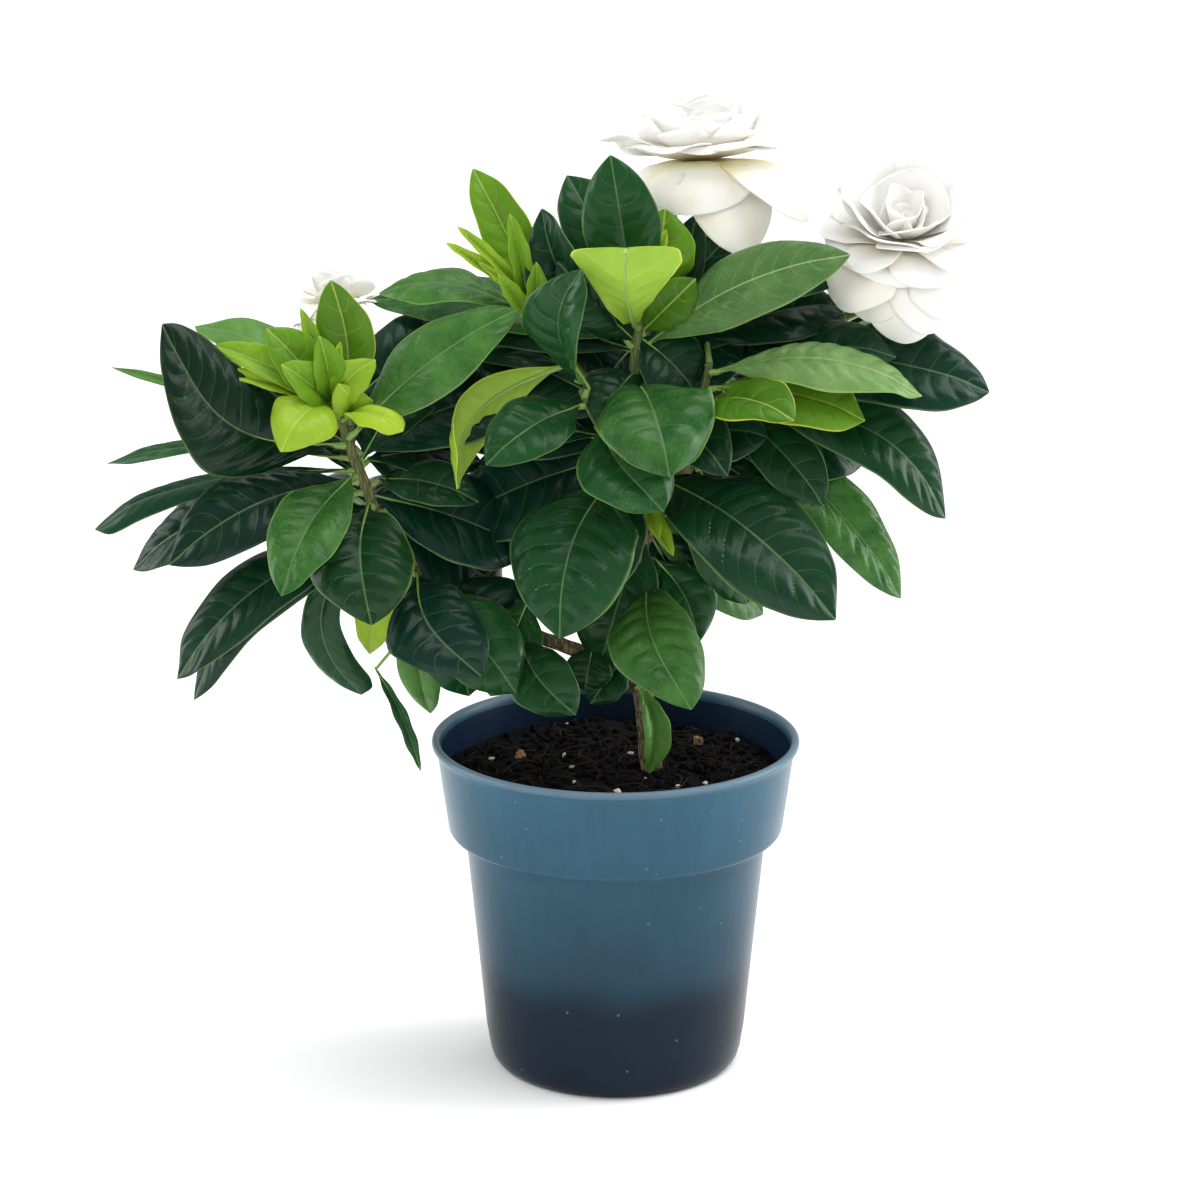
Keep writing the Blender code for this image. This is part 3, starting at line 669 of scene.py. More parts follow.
def leaf_sheets(name, form, look, along_share):
    """A leaf's blade with its veins pressed in, and its stalk, which runs on as a ridge below."""
    draw = np.random.default_rng(zlib.crc32(name.encode()))
    share = np.linspace(-1, 1, 2 * LEAF_HALF_COLUMNS + 1)
    share = np.sign(share) * np.abs(share) ** 1.15
    s, t = np.meshgrid(share, along_share)
    arch = ((1 - look.blunt) * np.sin(math.pi * along_share) + look.blunt * along_share)[:, None]
    bent = form.middle + arch * np.array((look.bend[0], 0, look.bend[1])) * MM
    blunt, usual = (curve_through(OUTLINE_AT, o, along_share) for o in (BLUNT_OUTLINE, OUTLINE))
    half = form.half * look.wide * (1 + look.blunt * (blunt / usual - 1))
    form = form._replace(middle=bent, half=half)
    spread = np.where(s[..., None] < 0, form.left[:, None], form.right[:, None])
    reach = np.abs(s) * form.half[:, None]
    points = form.middle[:, None] + spread * reach[..., None]
    run = unit(np.gradient(form.middle, axis=0))
    upper = unit(np.cross(unit(form.right - form.left), run))[:, None]
    length = np.linalg.norm(np.diff(form.middle, axis=0), axis=1).sum()
    size = form.half.max() / USUAL_HALF_WIDTH
    # the blade swells between its side veins, which sweep forward towards the margin
    pairs = np.clip(round(length / VEIN_SPACING), *VEIN_PAIRS)
    sweep = 0.10 * np.abs(s) + 0.09 * np.abs(s) ** 3.5
    phase = (t - sweep) * pairs + 0.12 * s * draw.uniform(-1, 1) + draw.uniform(0, 1)
    phase += 0.10 * np.sin(t * 9 + draw.uniform(0, 6)) + 0.05 * np.sin(s * 5 + t * 17)
    swell = np.abs(np.sin(math.pi * phase)) ** 0.65 - 0.5
    inside = smooth_step(0.02, 0.25, np.abs(s)) * (1 - smooth_step(0.72, 1.0, np.abs(s)))
    ends = smooth_step(0.05, 0.2, t) * (1 - smooth_step(0.86, 0.98, t))
    lift = look.quilt * size * swell * inside * ends
    groove = np.exp(-((reach / GROOVE_WIDTH) ** 2)) * smooth_step(0.04, 0.12, t) * (1 - 0.7 * t)
    lift -= 0.55 * groove
    # the margin waves and droops, and the tip curls down
    wave = sum(
        draw.uniform(0.5, 1) * np.sin(
            t * k * 2.4 + draw.uniform(0, 6) + np.sign(s) * draw.uniform(0, 3)
        )
        for k in (1.3, 2, 3.1, 4.7)
    )
    lift += look.wave * size * wave * 0.5 * np.abs(s) ** 3 * ends
    lift -= look.droop * reach / MM * np.abs(s) ** 1.5
    lift += 0.09 * reach / MM * np.sin(math.pi * np.minimum(np.abs(s) * 1.1, 1))
    lift -= look.tip_curl * size * smooth_step(0.72, 1.0, t) ** 2
    points = points + upper * lift[..., None] * MM
    # shallow notches along the margin
    notch = draw.uniform(0.2, 0.5) * np.sin(t * 23 + draw.uniform(0, 6)) * np.abs(s) ** 6
    points -= spread * (notch * MM * 0.6)[..., None] * ends[..., None]
    # thinner along the creases, so that the lower skin stays below the upper one
    crease = inside * (1 - smooth_step(0.0, 0.4, swell + 0.5))
    thick = LEAF_THICKNESS * (1 - 0.5 * np.abs(s) ** 6) * (1 - 0.6 * crease)
    seed = draw.uniform(0, 1)
    laid_flat = (s * form.half[:, None], t * length, np.full_like(s, seed))
    marks = {
        "blade": np.stack([s, t, phase], 2).reshape(-1, 3),
        "flat": np.stack(laid_flat, 2).reshape(-1, 3),
        "tone": np.tile((look.light, look.cool, look.edge), (s.size, 1)),
    }
    blade = two_sided(points, thick, marks)

    # the stalk starts inside the stem, and its ridge thins out towards the tip
    base = form.middle[0]
    spot, normal, _, _ = STEM_SURFACE.find_nearest(Vector(base))
    spot, normal = np.array(spot), np.array(normal)
    stout = min(1.15, 0.55 + 0.5 * size) * MM
    below = upper[:, 0] * (0.35 * stout + LEAF_THICKNESS / 2)
    start = spot - normal * 0.8 * MM - UP * 1.6 * MM
    hollow = upper[:, 0] * 0.25 * groove[:, LEAF_HALF_COLUMNS, None] * MM
    ridge = (form.middle - below - hollow)[2:-3:2]
    ridge_at = along_share[2:-3:2]
    curl = look.tip_curl * size * smooth_step(0.72, 1.0, ridge_at) ** 2
    ridge -= upper[2:-3:2, 0] * curl[:, None] * MM
    neck = [start, spot + normal * 0.4 * MM - UP * 0.9 * MM]
    if np.linalg.norm(neck[1] - ridge[0]) > 3 * MM:
        neck.append(neck[1] * 0.45 + ridge[0] * 0.55 - UP * 0.4 * MM)
    path = np.concatenate([neck, ridge])
    radii = [1.35 * stout, 1.15 * stout] + [stout] * (len(neck) - 2)
    radii += list(stout * (0.95 - 0.75 * ridge_at**0.7))
    return [blade, tube(path, radii, 2, MARKS)]


def leaf_share():
    """Places along a leaf, closer together near its two ends."""
    even = np.linspace(0, 1, LEAF_ROWS)
    return even - 0.06 * np.sin(2 * math.pi * even) / math.pi


MATURE = (WAXED_LEAF, MATT_LEAF_BACK, LEAF_STALK)
YOUNG = (TENDER_LEAF, TENDER_LEAF_BACK, LEAF_STALK)
PALE = (PALE_LEAF, MATT_LEAF_BACK, LEAF_STALK)
PALE_NAMES = ("leaf_right_03", "leaf_right_07")

# The finish of each leaf that shows; its light and cool values are partly painted shade and sheen
LEAF_LOOKS = {
    "leaf_left_01": LeafLook(0.6, 0, 0.5, 0.2, 0.85, 2.6),
    "leaf_left_02": LeafLook(0.2, 0, 0.5, 0.2, 0.9, 2.6),
    "leaf_left_03": LeafLook(0.04, 0.5, 0.1),
    "leaf_left_04": LeafLook(0.8, 0, 0.6, 0.4, 0.3, 4.5, 5),
    "leaf_left_05": LeafLook(0.95, 0, 0.6, 0.4, 0.25, 4, 7, 0.4),
    "leaf_left_06": LeafLook(0.2, 0, 0.8, 0.05, 0.35, 1.2),
    "leaf_left_07": LeafLook(0.66, 0.05, 0.6),
    "leaf_left_08": LeafLook(0, 0.1, 0.3, bend=(-5.5, -4), wide=1.06),
    "leaf_left_09": LeafLook(0, 0.35, 0.1),
    "leaf_left_10": LeafLook(0.3, 0.5, 0.3, 0.45, 0.4, 2, 7, 0.4, (0, -8)),
    "leaf_left_11": LeafLook(0.5, 0.1, 0.2, wide=0.72),
    "leaf_left_12": LeafLook(0.1, 0.35, 0.3, bend=(-3, 2.5), wide=1.1),
    "leaf_left_13": LeafLook(0.15, 0.35, 0.3, bend=(-2, 2)),
    "leaf_left_14": LeafLook(0.15, 0.6, 0.3, bend=(-4.5, 6.5), wide=0.95),
    "leaf_left_15": LeafLook(0.42, 0.3, 0.5, 0.3, 0.6, 3, 4, 0.5, (-8, -3)),
    "leaf_left_16": LeafLook(0.45, 0, 0.2),
    "leaf_low_01": LeafLook(0.36, 0, 0.3),
    "leaf_low_02": LeafLook(0.8, 0, 0.3, 0.05, 0.4, wide=0.8),
    "leaf_low_03": LeafLook(0.66, 0.15, 0.4, 0.16, 1),
    "leaf_low_04": LeafLook(0.4, 0.1, 0.2),
    "leaf_low_05": LeafLook(0.36, 0.1, 0.4, 0.24, 1, 3),
    "leaf_low_06": LeafLook(0.22, 0.3, 0.3, 0.18, 0.7, bend=(0, 5.5)),
    "leaf_front_01": LeafLook(0.6, 0.15, 0.5, 0.3, 0.8, 4.5, 3),
    "leaf_front_02": LeafLook(0.5, 0.05, 0.4, 0.2, 0.8, 3),
    "leaf_front_03": LeafLook(0.4, 0, 0.3),
    "leaf_front_04": LeafLook(0.75, 0.1, 0.6),
    "leaf_front_05": LeafLook(0.42, 0.05, 0.3, 0.08),
    "leaf_right_01": LeafLook(0.05, 0, 0.9),
    "leaf_right_02": LeafLook(0.3, 0, 0.8),
    "leaf_right_03": LeafLook(0.5, 0, 0.5, 0.4, 1.2),
    "leaf_right_04": LeafLook(0.15, 0.5, 0.3, bend=(0.5, -1), wide=1.22),
    "leaf_right_05": LeafLook(0.3, 0.25, 0.4, 0.2, 1, bend=(7, 7)),
    "leaf_right_06": LeafLook(0.62, 0, 0.4, 0.16, 1.1, bend=(5, 1), wide=0.9),
    "leaf_right_07": LeafLook(0.2, 0, 0.5, 0.25, 0.8),
    "leaf_top_01": LeafLook(0.66, 0, 0.8, 0, 0.3, 1.4, -4, 1, (9, -1), 0.9),
    "leaf_top_02": LeafLook(0.44, 0, 0.3),
    "leaf_top_03": LeafLook(0.2, 0.3, 0.5, 0.05),
    "leaf_top_04": LeafLook(0.3, 0, 0.4),
    "leaf_top_05": LeafLook(0.36, 0, 0.6, 0.1, bend=(-3, -1), wide=0.86),
    "leaf_top_06": LeafLook(0.68, 0, 0.5),
}


def make_leaves():
    """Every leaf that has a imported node."""
    share = leaf_share()
    for name in sorted(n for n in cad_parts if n.startswith("leaf_")):
        draw = np.random.default_rng(zlib.crc32(name.encode()) + 1)
        look = LEAF_LOOKS.get(name, LeafLook(draw.uniform(0.15, 0.5), draw.uniform(0, 0.4), 0.2))
        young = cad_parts[name].data.materials[0].name.startswith("young_leaf")
        sheets = leaf_sheets(name, form_from_node(name, share), look, share)
        finishes = YOUNG if young else PALE if name in PALE_NAMES else MATURE
        add_piece(f"{name}_blade", sheets, finishes, [name])


# Leaves that fill the shoots: tender tips, and inner leaves that others hide. Each is its base and
# its tip (mm), its width (mm), the way its top faces, how far it bows up (mm), how much it folds
# up along its midrib (degrees), how far it sways aside (mm), and how light and how cool it is: the
# inner leaves are made darker and bluer as painted shade
EXTRAS = {
    "left_shoot_inner_leaves": (MATURE, "mature_leaf", [
        ((-93, 0, 238), (-147, 25, 264), 26, (0, -2, 9), 6, 10, 0, 0.8, 0),
        ((-83, -5, 215), (-47, -22, 212), 20, (0, -6, 8), 4, 10, 0, 0.2, 0.2),
        ((-88, -8, 222), (-62, 26, 252), 28, (0, -4, 8), 5, 10, 0, 0.25, 0.3),
        ((-90, -6, 226), (-110, 36, 238), 26, (0, -3, 9), 6, 10, 0, 0.3, 0.1),
        ((-78, -8, 196), (-104, 34, 176), 26, (-2, -5, 6), 6, 10, 0, 0.2, 0.4),
        ((-70, -8, 186), (-52, 40, 168), 28, (0, 6, 7), 6, 10, 0, 0.3, 0.2),
        ((-85, -8, 210), (-30, 2, 187), 34, (1, -7, 6), 6, 8, 0, 0.06, 0.5),
        ((-88, -6, 224), (-30, 16, 242), 34, (-1, -6, 7), 7, 8, 0, 0.12, 0.5),
        ((-80, -8, 200), (-38, 14, 168), 34, (1, -7, 5), 5, 8, 0, 0.05, 0.6),
        ((-60, -6, 178), (-30, 8, 152), 28, (1, -8, 3), 4, 8, 0, 0.1, 0.5),
        ((-64, -8, 182), (-84, 16, 150), 26, (-1, -7, 5), 4, 10, 0, 0.12, 0.4),
        ((-82, -6, 206), (-122, 6, 172), 28, (-1, -7, 5), 5, 10, 0, 0.08, 0.5),
        ((-90, -6, 226), (-140, 8, 246), 30, (1, -7, 6), 6, 10, 0, 0.1, 0.4),
        ((-94, -4, 236), (-176, 20, 249), 6, (0, -6, 7), -3, 24, 0, 0.75, 0.1),
        ((-66, -6, 180), (-66, 14, 123), 16, (-1, -8, 3), 3, 14, 3, 0.75, 0),
        ((-84, -15, 150), (-68, -22, 114), 5, (-1, -8, 3), 2, 24, -2, 0.5, 0.3),
        ((-60, -8, 176), (-51, -16, 139), 26, (0, -8, 4), 4, 12, 0, 0.35, 0.1),
        ((-86, -6, 222), (-74, 4, 213), 16, (0, -7, 7), 3, 10, 0, 0.12, 0.4),
        ((-86, -4, 222), (-46, 8, 219), 24, (0, -6, 8), 4, 10, 0, 0.12, 0.4),
        ((-92, 2, 240), (-52, 30, 262), 30, (0, -6, 7), 5, 10, 0, 0.15, 0.4),
        ((-84, -6, 204), (-118, 0, 190), 22, (-1, -7, 5), 4, 10, 0, 0.1, 0.4),
    ]),
    "centre_inner_leaves": (MATURE, "mature_leaf", [
        ((0, 1, 218), (-9, -36, 178), 30, (0, -8, 5), 5, 10, 0, 0.2, 0.3),
        ((3, 2, 222), (-58, 8, 196), 38, (0, -7, 6), 6, 8, 0, 0.05, 0.6),
        ((2, 6, 226), (-62, 18, 230), 34, (0, -6, 7), 5, 8, 0, 0.08, 0.5),
        ((4, 4, 236), (-50, 22, 258), 32, (-2, -7, 5), 5, 8, 0, 0.12, 0.4),
        ((8, 4, 212), (-22, 10, 162), 36, (0, -8, 4), 5, 8, 0, 0.05, 0.6),
        ((10, 5, 196), (30, 16, 152), 34, (1, -8, 3), 5, 8, 0, 0.1, 0.5),
        ((6, 2, 246), (46, 8, 262), 30, (1, -7, 6), 5, 8, 0, 0.1, 0.4),
        ((6, 3, 240), (40, 6, 240), 32, (1, -7, 6), 5, 8, 0, 0.06, 0.4),
        ((7, 2, 252), (-6, -20, 238), 24, (0, -7, 6), 4, 10, 0, 0.2, 0.2),
        ((8, 1, 264), (28, -8, 246), 24, (1, -8, 5), 4, 10, 0, 0.2, 0.3),
        ((4, 0, 150), (-9, -7, 134), 15, (0, -8, 4), 2, 12, 0, 0.3, 0.2),
        ((-8, -2, 154), (-11, -6, 138), 17, (0, -8, 4), 2, 12, 0, 0.3, 0.2),
        ((9, 5, 262), (28, 16, 304), 15, (1, -8, 3), 2, 20, 3, 0.25, 0.2),
        ((10, 6, 264), (39, 18, 296), 22, (1, -8, 4), 3, 14, 0, 0.2, 0.3),
        ((7, 5, 262), (-87, 34, 271), 24, (0, -6, 8), 6, 10, 0, 0.55, 0),
        ((8, 4, 262), (-10, 28, 232), 26, (-1, -8, 4), 4, 10, 0, 0.08, 0.5),
        ((7, 5, 258), (-72, 34, 268), 30, (0, -6, 7), 6, 10, 0, 0.1, 0.4),
        ((9, 3, 196), (-6, -4, 146), 28, (0, -8, 3), 4, 12, 0, 0.4, 0.1),
        ((-30, -2, 172), (-44, -12, 138), 24, (0, -8, 3), 3, 12, 0, 0.5, 0),
        ((9, 4, 200), (54, 26, 157), 26, (1, -7, 5), 4, 10, 0, 0.6, 0),
        ((10, 0, 241), (38, -32, 224), 24, (0, -6, 7), 5, 10, 0, 0.15, 0.2),
        ((-4, 2, 228), (-60, 20, 222), 28, (0, -3, 9), 6, 10, 0, 0.16, 0.4),
        ((-12, 2, 250), (-62, 28, 258), 28, (0, -4, 8), 6, 10, 0, 0.25, 0.3),
        ((4, 2, 200), (-40, 12, 190), 28, (0, -5, 7), 5, 10, 0, 0.12, 0.4),
        ((8, 4, 190), (34, 30, 166), 28, (2, 6, 6), 5, 10, 0, 0.3, 0.2),
        ((7, 1, 262), (-20, -9, 292), 20, (-2, -8, 3), 4, 16, 0, 0.25, 0.2),
        ((8, 2, 274), (-17, 15, 318), 24, (0, -8, 3), 4, 12, 0, 0.35, 0.1),
        ((8, 3, 268), (20, 34, 300), 24, (0, 7, 5), 4, 12, 0, 0.35, 0.1),
    ]),
    "right_inner_leaves": (MATURE, "mature_leaf", [
        ((24, 6, 214), (47, 6, 166), 24, (1, -8, 4), 5, 10, 0, 0.35, 0),
        ((30, 5, 222), (70, 8, 192), 32, (1, -8, 5), 5, 8, 0, 0.06, 0.5),
        ((34, 5, 228), (88, 4, 220), 32, (1, -7, 6), 6, 8, 0, 0.08, 0.5),
        ((26, 2, 228), (52, -10, 232), 26, (1, -7, 6), 4, 8, 0, 0.12, 0.4),
        ((28, 4, 218), (52, 28, 160), 28, (1, -7, 4), 5, 8, 0, 0.25, 0.1),
        ((52, 8, 252), (96, -8, 260), 24, (0, -5, 8), 6, 10, 0, 0.2, 0.4),
        ((30, 6, 262), (80, 18, 272), 28, (0, -6, 7), 5, 10, 0, 0.1, 0.5),
        ((36, 6, 250), (66, 22, 268), 26, (0, -6, 7), 5, 10, 0, 0.15, 0.4),
        ((42, 6, 236), (72, -15, 208), 22, (1, -7, 5), 5, 10, 0, 0.25, 0.2),
        ((11, 2, 268), (80, 10, 284), 24, (0, -4, 8), 6, 10, 0, 0.2, 0.3),
        ((46, 8, 242), (58, 52, 252), 28, (0, 6, 8), 6, 10, 0, 0.3, 0.2),
        ((30, 5, 222), (48, 36, 196), 28, (2, 6, 6), 6, 10, 0, 0.25, 0.2),
        ((76, 16, 265), (110, 48, 256), 26, (1, 5, 8), 6, 10, 0, 0.3, 0.2),
        ((88, 14, 270), (118, 26, 268), 24, (0, -2, 9), 5, 10, 0, 0.25, 0.3),
    ]),
    "rear_leaves": (MATURE, "mature_leaf", [
        ((-84, -2, 206), (-92, 60, 190), 30, (0, 4, 8), 8, 10, 0, 0.25, 0.2),
        ((-88, 0, 222), (-72, 66, 226), 28, (0, 3, 9), 8, 10, 0, 0.3, 0.2),
        ((-92, 0, 236), (-116, 58, 240), 28, (0, 3, 9), 7, 10, 0, 0.25, 0.3),
        ((-60, 0, 178), (-66, 58, 160), 28, (0, 5, 7), 7, 10, 0, 0.2, 0.3),
        ((2, 5, 214), (-20, 68, 196), 32, (0, 5, 8), 8, 10, 0, 0.3, 0.1),
        ((4, 5, 232), (-34, 64, 240), 30, (0, 4, 8), 8, 10, 0, 0.2, 0.3),
        ((8, 5, 244), (24, 70, 246), 30, (0, 4, 8), 8, 10, 0, 0.35, 0.1),
        ((9, 4, 262), (4, 58, 286), 28, (0, 3, 8), 6, 10, 0, 0.3, 0.2),
        ((9, 6, 186), (20, 62, 168), 28, (0, 6, 6), 6, 10, 0, 0.35, 0.1),
        ((30, 8, 222), (42, 68, 206), 30, (0, 5, 7), 7, 10, 0, 0.25, 0.2),
        ((42, 9, 238), (74, 66, 234), 30, (0, 4, 8), 7, 10, 0, 0.3, 0.2),
        ((68, 14, 258), (90, 64, 250), 26, (0, 4, 8), 6, 10, 0, 0.3, 0.2),
    ]),
    "left_shoot_tender_tips": (YOUNG, "young_leaf", [
        ((-94, -13, 241), (-137, -20, 266), 13, (1, -7, 6), 5, 26, 0, 0.6, 0),
        ((-97, -11, 242), (-118, -22, 272), 19, (2, -8, 4), 3, 20, 0, 0.35, 0),
        ((-97, -11, 243), (-107, -18, 278), 7, (2, -8, 2), 2, 36, 0, 0.55, 0),
        ((-97, -12, 242), (-100, -27, 270), 13, (2, -8, 3), 2, 30, 0, 0.45, 0),
        ((-97, -12, 242), (-112, -34, 262), 15, (2, -8, 4), 2, 26, 0, 0.5, 0),
        ((-95, -12, 241), (-134, -26, 258), 8, (1, -7, 6), 3, 34, 0, 0.75, 0),
        ((-80, -6, 196), (-87, 8, 147), 14, (0, -8, 3), 3, 14, 0, 0.9, 0),
        ((-97, -11, 243), (-102, -18, 262), 6, (1, -8, 2), 1, 45, 0, 0.9, 0),
        ((-95, -14, 240), (-94, -24, 253), 15, (3, -8, 0), 4, 20, 3, 0.75, 0),
        ((-95, -13, 241), (-82, -22, 261), 15, (-2, -8, 1), 4, 24, -3, 0.7, 0),
        ((-97, -11, 243), (-94, -17, 266), 6, (0, -8, 2), 1, 45, 0, 0.95, 0),
    ]),
    "rear_shoot_tender_tips": (YOUNG, "young_leaf", [
        ((-29, 0, 276), (-58, -4, 298), 6, (1, -8, 4), 2, 44, 0, 0.75, 0),
        ((-29, 0, 277), (-54, -6, 304), 6, (1, -8, 4), 2, 44, 0, 0.7, 0),
        ((-29, 0, 274), (-47, -7, 292), 5, (1, -8, 4), 2, 44, 0, 0.7, 0),
        ((-29, 0, 272), (-36, -6, 308), 9, (1, -9, 2), 2, 38, 0, 0.5, 0),
        ((-28, 0, 270), (-27, -10, 292), 9, (1, -9, 2), 2, 38, 0, 0.45, 0),
        ((-28, 0, 268), (-40, -10, 288), 8, (1, -9, 2), 2, 38, 0, 0.55, 0),
    ]),
    "top_tender_tips": (YOUNG, "young_leaf", [
        ((9, 0, 279), (13, -10, 301), 7, (0, -9, 2), 1, 50, 0, 0.9, 0),
        ((9, 0, 279), (17, -8, 303), 7, (1, -9, 2), 1, 50, 0, 0.85, 0),
        ((9, 0, 266), (27, -8, 286), 16, (1, -9, 3), 3, 14, 0, 0.08, 0),
        ((7, 1, 212), (15, -17, 197), 7, (1, -8, 4), 1, 30, 0, 0.8, 0),
        ((7, 1, 210), (20, -14, 190), 7, (1, -8, 4), 1, 30, 0, 0.7, 0),
    ]),
}


# A leaf this narrow (mm) is still folded and has hardly any swelling between its veins
NARROW = 16


def make_extra_leaves():
    """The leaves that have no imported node."""
    share = leaf_share()
    for name, (finishes, slot, rows) in EXTRAS.items():
        sheets = []
        for i, (*shape, light, cool) in enumerate(rows):
            form = form_from_points(*shape, share)
            quilt = 0.45 if shape[2] > NARROW else 0.15
            look = LeafLook(light, cool, 0.3, 0.12, quilt, 0.8)
            sheets += leaf_sheets(f"{name}_{i}", form, look, share)
        add_piece(name, sheets, finishes)


# ---------------------------------------------------------------- flowers

PETAL_ROWS = 26
PETAL_COLUMNS = 23
PETAL_THICKNESS = 0.55 * MM
# How wide a petal is from its foot to its widest place, as a share of its width
PETAL_WIDTH_AT = (0, 0.12, 0.3, 0.46, 0.6)
PETAL_WIDTH = (0.2, 0.38, 0.7, 0.92, 1.0)
WIDEST = PETAL_WIDTH_AT[-1]
# How far from the flower's axis a petal starts (mm)
PETAL_FOOT = 1.2

# A petal: its turn about the flower (degrees from the right, towards the back), how far out and
# how high its middle and its tip are (mm), its width (mm), how much its margins lift (share of
# the half-width), how much its rim rolls back (mm) and how creamy it is, partly painted shade on
# the lower petals
Petal = namedtuple("Petal", "turn mid_out mid_up out up width cup roll cream")

# The place where the petals start, and the flower's own ways to the right, back and up
FlowerAxis = namedtuple("FlowerAxis", "throat right back up")


def flower_axis(flower):
    """Where a flower's throat is and the way it faces, read from its packed calyx."""
    points = node_points(f"{flower}_calyx")
    middle = points.mean(0)
    up = np.linalg.svd(points - middle)[2][0]
    up = up * np.sign(up[2])
    reach = (points - middle) @ up
    tube_length = (reach.max() - reach.min()) / 0.9
    throat = middle + up * (reach.max() + 0.1 * tube_length)
    right = unit(np.array((1.0, 0, 0)) - up * up[0])
    return FlowerAxis(throat, right, np.cross(up, right), up)


def petal_sheet(name, axis, petal, start_up):
    """One petal: a soft sheet with a rolled, ruffled rim."""
    draw = np.random.default_rng(zlib.crc32(name.encode()))
    t = np.sin(np.linspace(0, math.pi / 2, PETAL_ROWS))
    share = np.linspace(-1, 1, PETAL_COLUMNS)
    # the middle line rises from the throat through the petal's middle to its tip
    knots = np.array([(PETAL_FOOT, start_up), (petal.mid_out, petal.mid_up), (petal.out, petal.up)])
    pull = 2 * knots[1] - (knots[0] + knots[2]) / 2
    early, late = (1 - t[:, None]) ** 2, t[:, None] ** 2
    line = early * knots[0] + 2 * (t * (1 - t))[:, None] * pull + late * knots[2]
    turn = math.radians(petal.turn)
    out_way = axis.right * math.cos(turn) + axis.back * math.sin(turn)
    side = np.cross(axis.up, out_way)
    middle = axis.throat + (out_way * line[:, :1] + axis.up * line[:, 1:]) * MM
    run = unit(np.gradient(middle, axis=0))
    upper = unit(np.cross(side, run))
    upper = -upper if upper[0] @ axis.up < 0 else upper
    # rows run along the petal, and its right-hand side is run x upper
    aside = unit(np.cross(run, upper))
    # the far end is half an ellipse, so its rim is round
    past = np.clip((t - WIDEST) / (1 - WIDEST), 0, 1)
    wide = curve_through(PETAL_WIDTH_AT, PETAL_WIDTH, np.minimum(t, WIDEST))
    half = petal.width / 2 * wide * np.sqrt(np.maximum(1 - past**2, 0.0004))
    s, along = np.meshgrid(share, t)
    rim_share = np.sqrt(s**2 * (1 - past[:, None] ** 2) + past[:, None] ** 2)
    reach = s * half[:, None]
    lift = petal.cup * np.abs(s) ** 1.8 * half[:, None]
    lift -= petal.roll * smooth_step(0.55, 1.1, rim_share) * smooth_step(0.2, 0.7, along)
    across = reach / (petal.width / 2)
    ruffle = sum(
        draw.uniform(0.4, 0.9) * np.sin(across * k + along * k * 0.8 + draw.uniform(0, 6))
        for k in (1.8, 3.1, 4.6)
    )
    ruffle = ruffle * (0.3 + 0.9 * rim_share**2) * min(1, half.max() / 9)
    lift += ruffle * smooth_step(0.15, 0.5, along)
    # a slight crease down the middle
    lift -= 0.35 * np.exp(-((s / 0.12) ** 2)) * smooth_step(0.1, 0.4, along) * (1 - along)
    offset = aside[:, None] * reach[..., None] + upper[:, None] * lift[..., None]
    points = middle[:, None] + offset * MM
    thick = PETAL_THICKNESS * (1 - 0.55 * np.maximum(np.abs(s) ** 5, along**8))
    laid_flat = (reach * MM, along * petal.width * MM, np.full_like(s, draw.uniform(0, 1)))
    marks = {
        "blade": np.stack([s, along, np.zeros_like(s)], 2).reshape(-1, 3),
        "flat": np.stack(laid_flat, 2).reshape(-1, 3),
        "tone": np.tile((petal.cream, min(1, petal.cream * 1.2), 0), (s.size, 1)),
    }
    sheet = two_sided(points, thick, marks)
    return sheet._replace(finish=[0] * len(sheet.faces))


